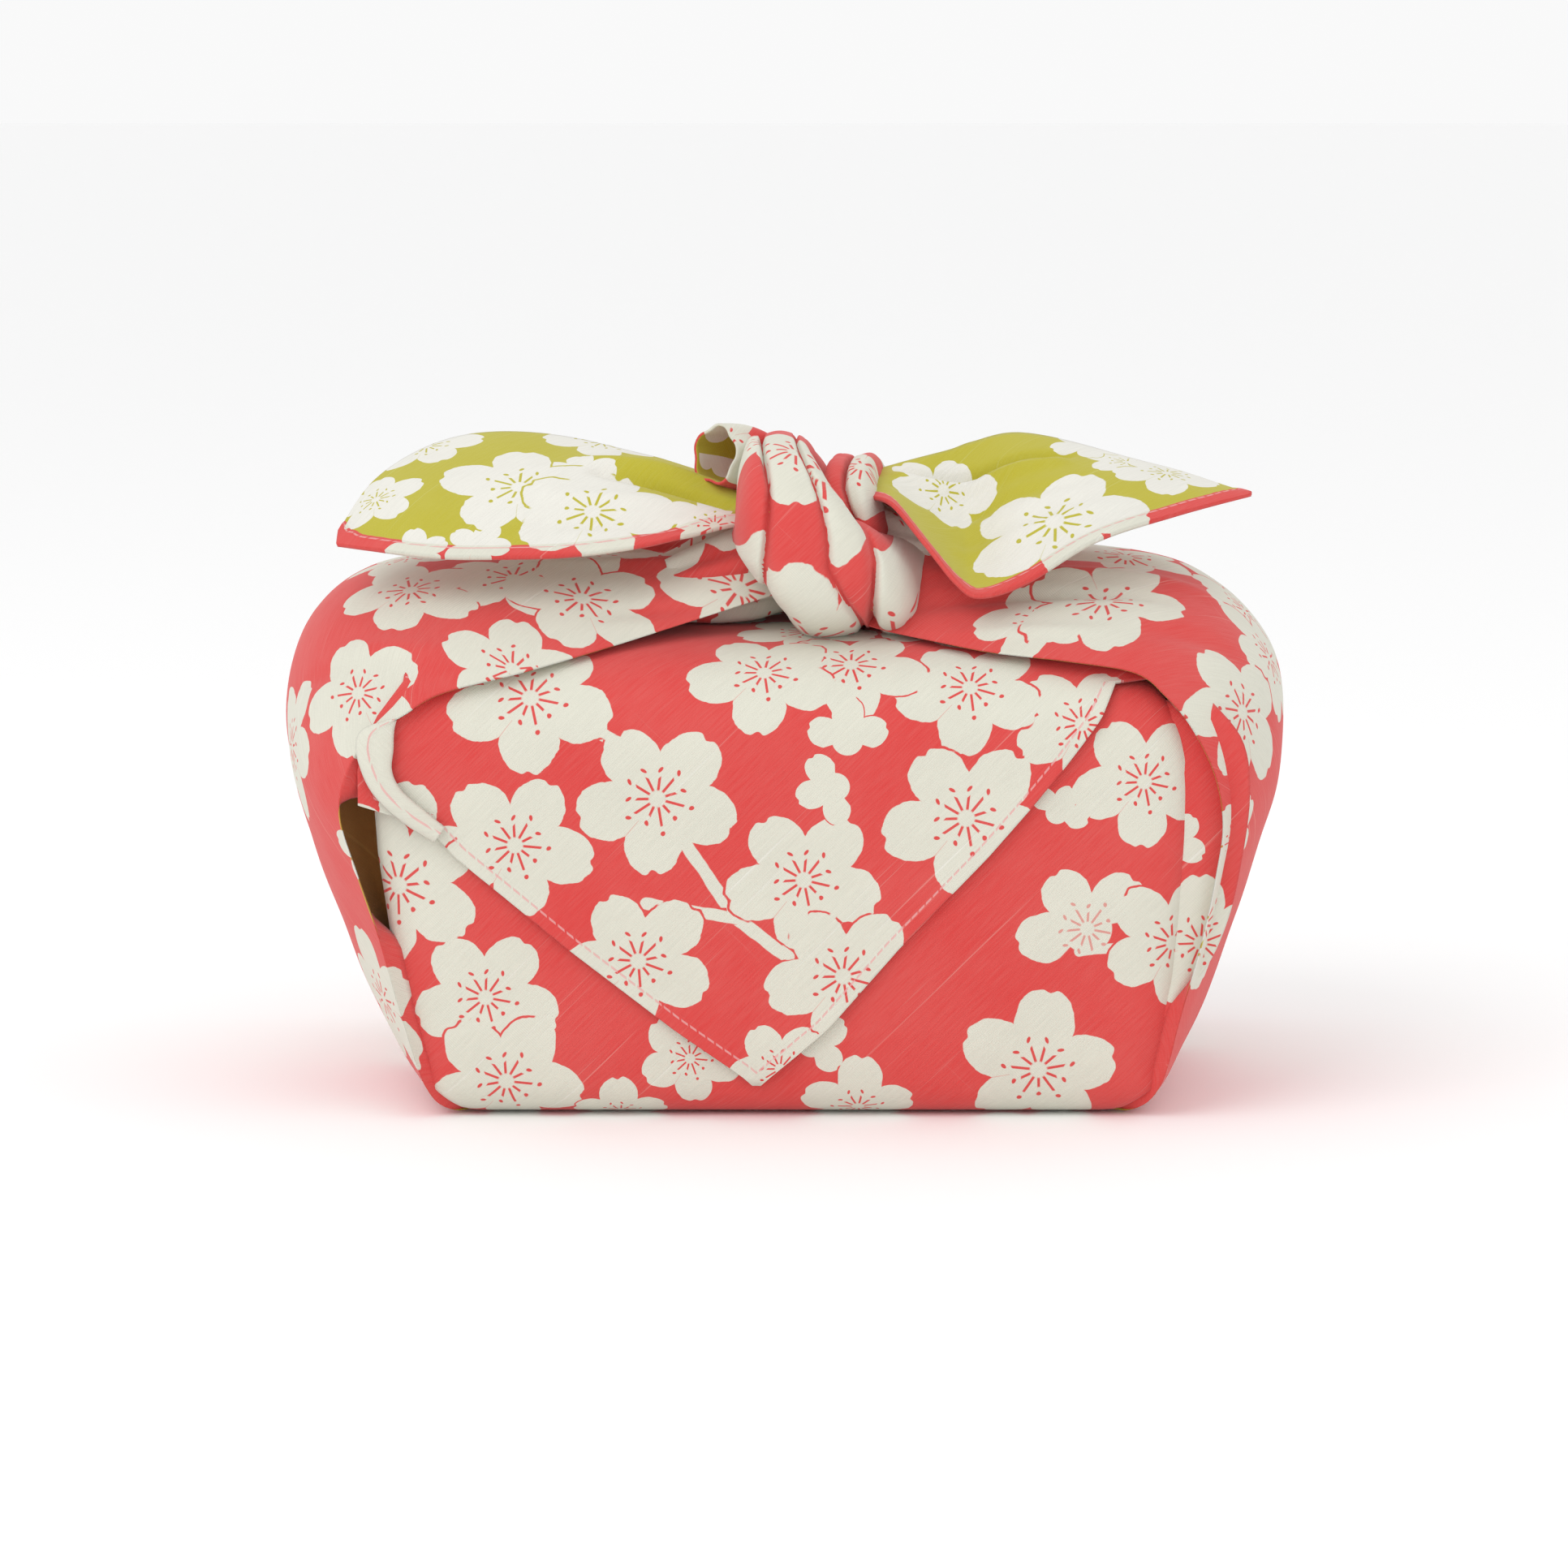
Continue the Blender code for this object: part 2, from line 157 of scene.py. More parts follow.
WING_CLOSER = 1.25  # how its columns draw together towards its edges
LOOP_SAMPLES = 300
# How far inside a panel's crease and face a wing's edge is tucked, and the least that it turns in.
SEAT_ALONG, SEAT_DEEP, SEAT_LEAST = 3.2, 2.6, 1.5
OVER_THE_TOP = (7.6, 9.4)  # from these sections on, an edge lies loose on the top and folds straight back
FOLD_BACK, FOLD_RISE = 8, 0.9
FOLD_STEPS, FOLD_FULL, FOLD_OUT = (1.0, 0.66, 0.36, 0.16, 0.05), 0.5, 0.6
# The columns of its fold, and how thin the mesh is there, as a share.
FOLD_COLUMN, FOLD_SPREAD, FOLD_THIN = 5, 7, 0.15
STIFF_EDGE, STIFF_FOOT = (5, 15), (0.01, 0.12)  # over these columns and rows its unevenness comes up
WING_LOWEST = 0.9
# The sections between which a wing's front edge stands off the panel.
LEFT_GAP = (4.1, 6.4)
RIGHT_GAP = (3.4, 8.3)
GAP_STARTS, GAP_ENDS = (-0.4, 0.2), (-0.2, 0.4)
GAP_TURN, GAP_DEEP = 0.8, 7.0  # there the edge goes a little outwards and this far back

# The plies between a wing's front edge and the panel: from behind the panel's crease to behind the wing.
LEFT_PLY = (
    # z, x at the panel, x at the wing
    (44, -97, -101),
    (56, -99, -107),
    (70, -100, -112),
    (84, -100, -114),
    (100, -100, -112),
)
RIGHT_PLY = (
    # z, x at the panel, x at the wing
    (20, 94, 95.5),
    (30, 96.5, 100),
    (40, 98, 108),
    (52, 98, 113),
    (66, 98, 116),
    (84, 98, 118),
    (98, 97, 116),
    (108, 93, 108),
)
# How far behind the panel's face the edges and the middle of a ply lie.
LEFT_PLY_DEEP = (9, 15)
RIGHT_PLY_DEEP = (2.6, 1.6)
RIGHT_PLY_PRINT = ((12, 46, 20, 17, OPEN), (4, 72, 50, 9, BARE))
PLY_ROWS, PLY_COLUMNS = 40, 22
# The curled hem: its lower and upper edge, in front of the flap.
CURLED_HEM = (
    # lower x, y, z, upper x, y, z
    (-88.1, -78.2, 73.2, -85.5, -78.2, 76.8),
    (-95.3, -78.8, 77.9, -91.2, -78.8, 81.7),
    (-101.2, -79.2, 83.1, -96.3, -79.2, 86.4),
    (-105.1, -79.4, 88.9, -98.6, -79.2, 91.3),
    (-107.4, -79.4, 96.7, -98.2, -79.0, 96.7),
    (-106.1, -78.8, 101.2, -98.0, -78.6, 101.2),
    (-100.4, -77.0, 103.3, -97.3, -77.0, 104.5),
)
CURL_PROUD, CURL_SQUARE = 1.6, 0.7
CURL_ROWS, CURL_COLUMNS = 60, 13
CURLED_PRINT = ((4, 22, 0, 100, BARE),)

# The knot's bights: middle of the loop, reach in y and z, turn, and where its sides are.
MAIN_BAND = dict(middle=(0, -25, 146.5), reach=(40, 26.5), turn=0, sides=(
    # level from -1 to 1, left x, right x
    (-1, -2, 37.5),
    (-0.85, -3.4, 36.5),
    (-0.5, -10, 34),
    (-0.2, -13.3, 31),
    (0.1, -13.5, 26),
    (0.55, -12.8, 16.8),
    (1, -12.5, 9),
))
SECOND_BAND = dict(middle=(18.5, -17, 152), reach=(27, 15), turn=-8, sides=(
    # level from -1 to 1, left x, right x
    (-1, -7, 11),
    (0, -7, 9.5),
    (1, -7.5, 7),
))
BAND_SQUARE, BAND_EDGE = 5, 0.4  # how flat a band is across, and how steep its sides are
LOOP_BELOW, LOOP_ABOVE = 0.62, 0.85  # how square its loop is below and above the middle, from 1, an ellipse
BAND_ROUND, BAND_ACROSS, BAND_FINE = 150, 90, 20
# Grooves along a band: where they run across it at these three levels, from -1 to 1.
GROOVE_LEVELS = (-0.85, -0.23, 0.6)
GROOVE_SHOULDER = (0.4, 5)  # a shallower dip this many times as wide rounds the pleats
MAIN_GROOVES = (
    # at the low, middle and high level, depth, half width
    (-0.95, -0.63, -0.375, 2.6, 0.05),
    (0.15, 0.09, 0.44, 1.8, 0.045),
    (0.30, 0.62, 0.97, 3.4, 0.06),
)
SECOND_GROOVES = (
    # at the low, middle and high level, depth, half width
    (0.45, 0.3, -0.05, 2.6, 0.08),
)
PLEAT_APART = 100  # how far apart the pleats lie on the chart, as cloth is hidden in the grooves
GROOVE_STEP = 0.02
# The roll at the knot's left, and the strands that cross inside the knot: pleated tubes.
ROLL = dict(rows=24, sides=60, pleats=5, pleat=0.12, path=(
    # x, y, z, radius
    (6, -8, 156, 6.5),
    (-4, -14, 162, 8.3),
    (-12, -19, 165.5, 9),
    (-18, -25, 167, 8.3),
))
STRANDS = dict(rows=40, sides=72, pleats=9, pleat=0.16, path=(
    # x, y, z, radius
    (-30, -31, 132.5, 9),
    (-14, -28, 136, 13.5),
    (6, -20, 143, 15),
    (24, -20, 143, 13),
    (42, -26, 142, 7),
))
PLEAT_TWIST, PLEAT_SHARP = 0.02, 3

# A tail is a free corner of the cloth, one row for each section, with its edges and its belly.
LEFT_TAIL = (
    # x, front y, front z, back y, back z, belly
    (0, -34, 151, -12, 157, 0),
    (-20, -45, 149, -8, 161, 3),
    (-36, -52, 145.5, -3, 165.5, 5),
    (-57, -55, 143, 2, 169.5, 5),
    (-79, -55, 142.6, 2, 171, 4),
    (-94, -53, 143.2, -4, 168, 3),
    (-107, -47, 144.3, -16, 160, 1.5),
    (-115.4, -41, 145, -36, 148, 0),
)
RIGHT_TAIL = (
    # x, front y, front z, back y, back z, belly
    (22, -36, 157, -10, 161, 0),
    (28, -44, 155.5, -6, 162.5, 0),
    (36, -52, 146.1, -2, 164.5, -2),
    (44.3, -57, 136.2, 2, 166.5, -3),
    (50.2, -59, 133.3, 4, 168.5, -3),
    (62, -56, 136.5, 6, 170.7, 2),
    (80, -50, 146.5, 2, 167.3, 3),
    (101, -40, 152.7, -8, 162.5, 2),
    (121.8, -26.6, 156.8, -25.8, 157.2, 0),
)
TAIL_ROWS, TAIL_COLUMNS = 84, 46
BELLY_OUT, BELLY_UP = 0.5, 0.9

# The sheets' unevenness.
BODY_WAVES = (
    # seed, size, height
    (4, 60, 0.5),
    (5, 24, 0.15),
)
LEFT_WING_WAVES = ((11, 70, 1.0), (12, 28, 0.35))
RIGHT_WING_WAVES = ((15, 70, 1.0), (16, 28, 0.35))
TUBE_WAVES = ((21, 14, 0.3),)
TAIL_WAVES = ((31, 40, 0.7),)

# Blossoms: place on the chart, turn in degrees, radius, kind. Later ones lie over earlier ones.
FLAP_BLOSSOMS = (
    # u, v, turn, radius, kind
    (-97, 69, 78, 20, OPEN),
    (75, 103, 60, 17, OPEN),
    (47, 113, 47, 19, OPEN),
    (17, 121, 55, 19, OPEN),
    (-5, 118, 48, 19, OPEN),
    (-64, 110, 53, 21, OPEN),
    (-32, 84, 50, 20.5, OPEN),
    (-68, 72, 60, 19.5, OPEN),
    (5, 63, 52, 19.5, OPEN),
    (-37, 42, 45, 19.5, OPEN),
    (46, 79, 51, 21, OPEN),
    (35, 32, 60, 19, OPEN),
    (15, 38, 50, 19.5, OPEN),
    (16, 99, 90, 11, BUD),
    (13, 87, 200, 10, BUD),
    (-1, 14, 50, 13, OPEN),
)
FLAP_TWIGS = (
    # u0, v0, u1, v1, width
    (-50, 103, -40, 97, 3.2),
    (-30, 80, -12, 53, 3.2),
    (-35, 57, -12, 53, 3.0),
    (-12, 53, 1, 43, 3.4),
)
PANEL_BLOSSOMS = (
    # u, v, turn, radius, kind
    (-98, 61, 40, 22, OPEN),
    (-76, 32, 55, 18.5, OPEN),
    (-71, 10, 60, 19.5, OPEN),
    (-42, -2, 20, 13, OPEN),
    (-24, 16, 60, 13, OPEN),
    (7, 20, 30, 10, BUD),
    (19, 1, 15, 15.5, OPEN),
    (65, 13, 10, 21, OPEN),
    (77, 50, 120, 17.5, HALF_OPEN),
    (99, 46, 62, 18, OPEN),
    (91, 88, 52, 18, OPEN),
    (69, 80, 60, 8, BUD),
)
PANEL_TWIGS = (
    # u0, v0, u1, v1, width
    (75, 44, 92, 46, 2.4),
)
# On the strip the repeat leaves these levels free: of the panel, from its foot to the strip's start, and of
# the flap, from its foot. It is shifted by this much.
PANEL_FREE, FLAP_FREE, FREE_HALF = (-14, 20), (-5, 130), 140
BODY_SHIFT = (10, 30)
# Prints of the other pieces: the repeat's shift, the rectangles that it leaves free, and their blossoms.
LEFT_WING_PRINT = dict(shift=(0, 0), leave=((-140, -20, -8, 300),), blossoms=(
    # u, v, turn, radius, kind
    (-18, 224, 40, 19, OPEN),
    (-36, 202, 20, 19, OPEN),
    (-37, 175, 67, 19.5, OPEN),
    (-73, 193, 20, 19, OPEN),
    (-42, 118, 30, 19, OPEN),
    (-67, 146, 17, 21, OPEN),
    (-46, 218, -5, 21, OPEN),
    (-38, 258, 54, 21, OPEN),
    (-62, 50, 20, 20, OPEN),
    (-85, 97, 10, 12, OPEN),
))
RIGHT_WING_PRINT = dict(shift=(40, 0), leave=((5, -20, 140, 300),), blossoms=(
    # u, v, turn, radius, kind
    (55, 201, 10, 17, OPEN),
    (8, 184, 0, 19, OPEN),
    (14, 150, 30, 17, OPEN),
    (28, 138, 20, 18, OPEN),
    (61, 132, 98, 22, OPEN),
    (47, 186, -23, 23, OPEN),
    (72, 97, 60, 14, OPEN),
    (78, 73, 90, 21, OPEN),
))
LEFT_TAIL_PRINT = dict(shift=(0, 0), leave=((-90, -90, 90, 200),), blossoms=(
    # u, v, turn, radius, kind
    (27, 30, 20, 14, OPEN),
    (30, 75, 40, 16, OPEN),
    (2, 15, 10, 13, OPEN),
    (-26, 24, 0, 9.5, BARE),
    (-27, 41, 30, 9.5, BARE),
    (3, 69, 0, 10, BARE),
    (-4, 53, 5, 21, OPEN),
    (-19, 104, 0, 13, OPEN),
    (-16, 72, 21, 21, OPEN),
))
RIGHT_TAIL_PRINT = dict(shift=(0, 0), leave=((-90, -90, 90, 200),), blossoms=(
    # u, v, turn, radius, kind
    (9, 22, 20, 16, OPEN),
    (16, 74, 10, 12, OPEN),
    (8, 84, 40, 15, OPEN),
    (-16, 53, 22, 24, OPEN),
    (27, 64, 30, 10, BARE),
))
MAIN_BAND_PRINT = dict(shift=(0, 0), leave=((-40, -45, 380, 62),), blossoms=(
    # u, v, turn, radius, kind
    (-2, -27, 90, 30, OPEN),
    (-4, 42, 0, 17, OPEN),
    (103, 31, -90, 21.5, OPEN),
    (107, -35, 106, 32, OPEN),
    (210, 22, -88, 29, OPEN),
    (328.5, -33, 95, 31, OPEN),
))
SECOND_BAND_PRINT = dict(shift=(0, 0), leave=((-40, -30, 180, 40),), blossoms=(
    # u, v, turn, radius, kind
    (104, 18, -90, 20, OPEN),
))
PLAIN = dict(shift=(0, 0), leave=(), blossoms=())
FAR_OFF = ((-200, -200, 0, 10, OPEN),)  # a print that leaves its piece bare
# Folds: lines on the chart along which a sheet dips or rises.
LEFT_WING_FOLDS = (
    # u0, v0, u1, v1, half width, height
    (-43, 266, -52, 222, 2.6, -1.5),
    (-30, 264, -27, 205, 3.0, 1.4),
    (-20, 262, -14, 200, 3.2, -1.5),
    (-60, 150, -36, 128, 3.0, -1.0),
    (-66, 176, -52, 150, 4.0, 1.0),
)
RIGHT_WING_FOLDS = (
    # u0, v0, u1, v1, half width, height
    (46, 236, 41, 170, 3.0, -1.9),
    (34, 234, 28, 160, 3.4, 1.6),
    (20, 230, 10, 165, 3.5, -1.9),
    (58, 230, 62, 182, 2.4, 1.1),
    (60, 172, 48, 140, 4.0, -1.2),
)
LEFT_TAIL_FOLDS = (
    # u0, v0, u1, v1, half width, height
    (3, 74, -8, 108, 2.4, -4.2),
    (10, 72, 3, 108, 3.0, 2.6),
    (-14, 108, -8, 60, 3.0, 1.2),
    (-22, 104, -20, 55, 2.5, -1.1),
)
RIGHT_TAIL_FOLDS = (
    # u0, v0, u1, v1, half width, height
    (15, 10, 19, 58, 1.8, -3.8),
    (10, 10, 15, 56, 2.6, 2.6),
    (0, 8, 2, 60, 2.6, -1.4),
    (-18, 28, -12, 72, 3.0, 1.3),
)
# A repeat fills what has no chart of its own: the back, the bottom and the sides.
REPEAT, REPEAT_PAST = (132.0, 118.0), 25
REPEAT_BLOSSOMS = (
    # u, v, turn, radius, kind
    (18, 20, 10, 20, OPEN),
    (52, 34, 40, 19, OPEN),
    (40, 4, 70, 18, OPEN),
    (100, 26, 25, 20, OPEN),
    (84, 58, 55, 18, OPEN),
    (118, 62, 5, 19, OPEN),
    (24, 78, 30, 20.5, OPEN),
    (60, 88, 15, 19, OPEN),
    (98, 98, 50, 20, OPEN),
    (70, 112, 80, 11, BUD),
    (10, 50, 120, 10, BUD),
    (128, 92, 150, 12, HALF_OPEN),
)
REPEAT_TWIGS = (
    # u0, v0, u1, v1, width
    (52, 34, 70, 52, 2.4),
    (24, 78, 12, 60, 2.2),
    (98, 98, 112, 80, 2.4),
    (60, 88, 72, 104, 2.2),
)

# A blossom's drawing, in its own radius: the petals' oval, their notch, the disc that joins them, the stamens
# and the gap round it where it overlaps another.
PETAL_MIDDLE, PETAL_LONG, PETAL_WIDE = 0.59, 0.41, 0.365
NOTCH_WIDE, NOTCH_DEEP = 0.11, 0.24
DISC = (0.37, 0.35)
STAMENS = 11
STAMEN_WIDE, STAMEN_START, STAMEN_END = (0.022, 0.012), (0.09, 0.12), 0.30
ANTHER_AWAY, ANTHER_WIDE = 0.085, (0.036, 0.024)
GAP_WIDE = (1.2, 1.14)

CORAL = (0.64, 0.056, 0.052, 1)
CORAL_LIGHT = (0.72, 0.25, 0.22, 1)
CREAM = (0.70, 0.69, 0.59, 1)
LIME = (0.46, 0.41, 0.03, 1)
LIME_LIGHT = (0.55, 0.54, 0.14, 1)
WHITE = (0.78, 0.765, 0.70, 1)
# Painted shade: the lime side darkened to olive-brown, as it looks in shadow deep in a fold.
PAINTED_SHADE_LIME = (0.34, 0.15, 0.04, 1)
PAINTED_SHADE_LIME_PALE = (0.42, 0.22, 0.06, 1)
THREAD = (0.74, 0.36, 0.35, 1)
BLOSSOM_SHADE = 0.9  # how dark a blossom's mottling is


# Curves and sheets

def spline_at(rows, along, closed=False):
    """Points, or rows of points, at these row numbers along a smooth curve through the rows given."""
    rows = np.asarray(rows, float)
    along = np.asarray(along, float)
    spans = len(rows) if closed else len(rows) - 1
    start = np.floor(along).astype(int)
    if not closed:
        start = np.clip(start, 0, spans - 1)
    t = (along - start).reshape(-1, *[1] * (rows.ndim - 1))

    def row(index):
        return rows[index % len(rows)] if closed else rows[np.clip(index, 0, len(rows) - 1)]

    a, b, c, d = row(start - 1), row(start), row(start + 1), row(start + 2)
    return b + 0.5 * t * (c - a + t * (2 * a - 5 * b + 4 * c - d + t * (3 * b - 3 * c + d - a)))


def spline(rows, count, closed=False):
    spans = len(rows) if closed else len(rows) - 1
    return spline_at(rows, np.linspace(0, spans, count, endpoint=not closed), closed)


def unit(vectors):
    return vectors / np.maximum(np.linalg.norm(vectors, axis=-1, keepdims=True), 1e-9)


def slopes(grid, axis, closed=False):
    if closed:
        return np.roll(grid, -1, axis) - np.roll(grid, 1, axis)
    return np.gradient(grid, axis=axis)


def outward(grid, closed=False):
    """The unit normals of a grid whose outer side is on the right of its rows, looking along its columns."""
    return unit(np.cross(slopes(grid, 0), slopes(grid, 1, closed)))


def run(grid, axis):
    """How far each point of a grid is along its own line, from the line's start."""
    steps = np.linalg.norm(np.diff(grid, axis=axis), axis=-1)
    start = np.zeros_like(np.take(steps, [0], axis))
    return np.concatenate([start, np.cumsum(steps, axis=axis)], axis=axis)


def ramp(value, start, end):
    """0 before the start and 1 past the end, with a soft step between."""
    t = np.clip((value - start) / (end - start), 0, 1)
    return t * t * (3 - 2 * t)


def waves(chart, seed, size):
    """Gentle unevenness between -1 and 1, from crossed waves of about this size."""
    rng = np.random.default_rng(seed)
    total = np.zeros(chart.shape[:2])
    for _ in range(7):
        heading = rng.uniform(0, math.pi)
        long = size * rng.uniform(0.6, 1.7)
        phase = rng.uniform(0, 2 * math.pi)
        place = chart[..., 0] * math.cos(heading) + chart[..., 1] * math.sin(heading)
        total += np.sin(2 * math.pi * place / long + phase)
    return total / 7


def uneven(chart, table):
    return sum(waves(chart, seed, size) * height for seed, size, height in table)


def line_distance(chart, points):
    """How far each place of a chart is from a broken line."""
    points = np.asarray(points, float)
    nearest = np.full(chart.shape[:2], np.inf)
    for start, end in zip(points[:-1], points[1:]):
        span = end - start
        t = np.clip(((chart - start) @ span) / (span @ span), 0, 1)
        nearest = np.minimum(nearest, np.linalg.norm(chart - start - t[..., None] * span, axis=-1))
    return nearest


def creased(chart, creases):
    """The height of soft troughs and ridges along short lines on a chart."""
    height = np.zeros(chart.shape[:2])
    for u0, v0, u1, v1, wide, high in creases:
        start, span = np.array((u0, v0), float), np.array((u1 - u0, v1 - v0), float)
        t = ((chart - start) @ span) / (span @ span)
        away = np.linalg.norm(chart - start - np.clip(t, 0, 1)[..., None] * span, axis=-1)
        fade = np.sin(math.pi * np.clip(0.15 + 0.7 * t, 0.02, 0.98))
        height += high * fade * np.exp(-((away / wide) ** 2))
    return height


def some_of(count, step):
    """Every so many of these numbers, and the last one."""
    return np.unique(np.append(np.arange(0, count, step), count - 1))


def between(values, known, count):
    """Rows known at these numbers, read at every number by straight lines."""
    columns = values.reshape(len(known), -1).T
    rows = np.stack([np.interp(np.arange(count), known, column) for column in columns], axis=1)
    return rows.reshape(count, *values.shape[1:])


def flattened(grid, rounds=400, coarse=3, haste=1.2):
    """A chart that keeps a sheet's lengths: its grid laid flat, then eased until its cells are their size."""
    rows, columns = some_of(grid.shape[0], coarse), some_of(grid.shape[1], coarse)
    small = grid[np.ix_(rows, columns)]
    high, wide = small.shape[:2]
    middle = wide // 2
    across = run(small, 1)
    flat = np.stack([across - across[:, [middle]], run(small, 0)[:, [middle]] + 0 * across], axis=-1)

    def ends(a, b):
        spare = (high, wide) - np.maximum(a, b)
        return [tuple(slice(i, i + size) for i, size in zip(end, spare)) for end in (a, b)]

    # Each cell holds its two sides and its two diagonals.
    pairs = [ends(a, b) for a, b in (((0, 1), (0, 0)), ((1, 0), (0, 0)), ((1, 1), (0, 0)), ((1, 0), (0, 1)))]
    rest = [np.linalg.norm(small[one] - small[two], axis=-1) for one, two in pairs]
    for _ in range(rounds):
        pull = np.zeros_like(flat)
        count = np.zeros(flat.shape[:2])
        for (one, two), length in zip(pairs, rest):
            gap = flat[one] - flat[two]
            now = np.maximum(np.linalg.norm(gap, axis=-1), 1e-6)
            move = gap * (0.5 * (length - now) / now)[..., None]
            pull[one] += move
            pull[two] -= move
            count[one] += 1
            count[two] += 1
        flat += haste * pull / count[..., None]
    full_rows = between(flat.transpose(1, 0, 2), columns, grid.shape[1])
    return between(full_rows.transpose(1, 0, 2), rows, grid.shape[0])


def repeated(chart, shift=(0, 0), leave=()):
    """The repeat's blossoms and twigs over a chart, but for those in a rectangle left to others."""
    low = chart.reshape(-1, 2).min(axis=0) - REPEAT_PAST
    high = chart.reshape(-1, 2).max(axis=0) + REPEAT_PAST
    tiles = [range(math.floor(a / r) - 1, math.ceil(b / r) + 1) for a, b, r in zip(low, high, REPEAT)]

    def free(u, v):
        return not any(a <= u <= c and b <= v <= d for a, b, c, d in leave)

    blossoms, twigs = [], []
    for i in tiles[0]:
        for j in tiles[1]:
            du = i * REPEAT[0] + shift[0] + (j % 2) * REPEAT[0] / 3
            dv = j * REPEAT[1] + shift[1]
            for u, v, *rest in REPEAT_BLOSSOMS:
                if free(u + du, v + dv):
                    blossoms.append((u + du, v + dv, *rest))
            for u0, v0, u1, v1, width in REPEAT_TWIGS:
                if free(u0 + du, v0 + dv) and free(u1 + du, v1 + dv):
                    twigs.append((u0 + du, v0 + dv, u1 + du, v1 + dv, width))
    return blossoms, twigs


def printed(chart, print_on):
    """The repeat's blossoms and twigs on a chart, then the piece's own blossoms."""
    blossoms, twigs = repeated(chart, print_on["shift"], print_on["leave"])
    return blossoms + list(print_on["blossoms"]), twigs


def corners_of(rows, columns, closed):
    """The corners of a grid's cells, as row and column numbers. A closed grid's last column is one past."""
    past = columns if closed else columns - 1
    i, j = np.meshgrid(np.arange(rows - 1), np.arange(past), indexing="ij")
    i, j = i.ravel(), j.ravel()
    return np.stack([i, i, i + 1, i + 1], axis=1), np.stack([j, j + 1, j + 1, j], axis=1)


def rim_of(rows, columns, closed):
    """The two ends of each piece of a grid's rim, and whether its face is turned round."""
    past = columns if closed else columns - 1
    rims = [((row, j), (row, j + 1), row != 0) for row in (0, rows - 1) for j in range(past)]
    if not closed:
        rims += [((i, j), (i + 1, j), j == 0) for j in (0, columns - 1) for i in range(rows - 1)]
    return [np.array(part) for part in zip(*rims)]


def cloth_sheet(name, grid, chart, print_on, outside, inside, edge=None, closed=False, thick=CLOTH):
    """A closed thin sheet whose outer face is the grid. A closed grid's chart has one column more."""
    rows, columns = grid.shape[:2]
    edge = np.full(chart.shape[:2], NO_EDGE) if edge is None else edge
    hem = HEM_PLY * ramp(-edge, -HEM, HEM_STEP - HEM)[:, :columns, None]
    normal = outward(grid, closed)
    inner = grid - normal * thick
    outer = grid + normal * hem
    points = np.concatenate([outer.reshape(-1, 3), inner.reshape(-1, 3)]) * MM
    count = rows * columns
    i, j = corners_of(rows, columns, closed)
    top = i * columns + j % columns
    top_place = np.stack([i, j], axis=-1)
    a, b, turned = rim_of(rows, columns, closed)
    first, second = (end[:, 0] * columns + end[:, 1] % columns for end in (a, b))
    rim = np.stack([second, first, first + count, second + count], axis=1)
    rim_place = np.stack([b, a, a, b], axis=1)
    rim[turned] = rim[turned][:, ::-1]
    rim_place[turned] = rim_place[turned][:, ::-1]
    faces = np.concatenate([top, top[:, ::-1] + count, rim])
    place = np.concatenate([top_place, top_place[:, ::-1], rim_place])
    mesh = bpy.data.meshes.new(name)
    mesh.from_pydata(points.tolist(), [], faces.tolist())
    mesh.materials.append(outside)
    mesh.materials.append(inside)
    sides = np.repeat([0, 1, 0], [len(top), len(top), len(rim)])
    mesh.polygons.foreach_set("material_index", sides)
    mesh.polygons.foreach_set("use_smooth", np.ones(len(faces), bool))
    at = chart[place[..., 0], place[..., 1]]
    near = edge[place[..., 0], place[..., 1]]
    store(mesh, "chart", "CORNER", np.concatenate([at, near[..., None]], axis=-1).reshape(-1, 3))
    store_print(mesh, at, *print_on)
    obj = new_object(name, mesh)
    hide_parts(NODE)
    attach(obj, BODY)
    return obj


def new_object(name, data):
    obj = bpy.data.objects.new(name, data)
    bpy.context.scene.collection.objects.link(obj)
    return obj


def store(mesh, name, domain, values):
    attribute = mesh.attributes.new(name, "FLOAT_VECTOR", domain)
    attribute.data.foreach_set("vector", np.asarray(values, np.float32).ravel())


# How far round a blossom its petals go from its turn, and whether stamens show, by kind.
KINDS = {OPEN: (math.pi, 1.0), HALF_OPEN: (1.885, 0.6), BUD: (1.885, 0.0), BARE: (math.pi, 0.0)}
LEVELS = ("under", "middle", "over")  # of the blossoms that lie over each other
NOWHERE = 9e4  # a place that is on no chart
PRINT_PAST, PRINT_SPARE = 1.12, 0.8  # how far past its radius a blossom may reach, as a share and in mm


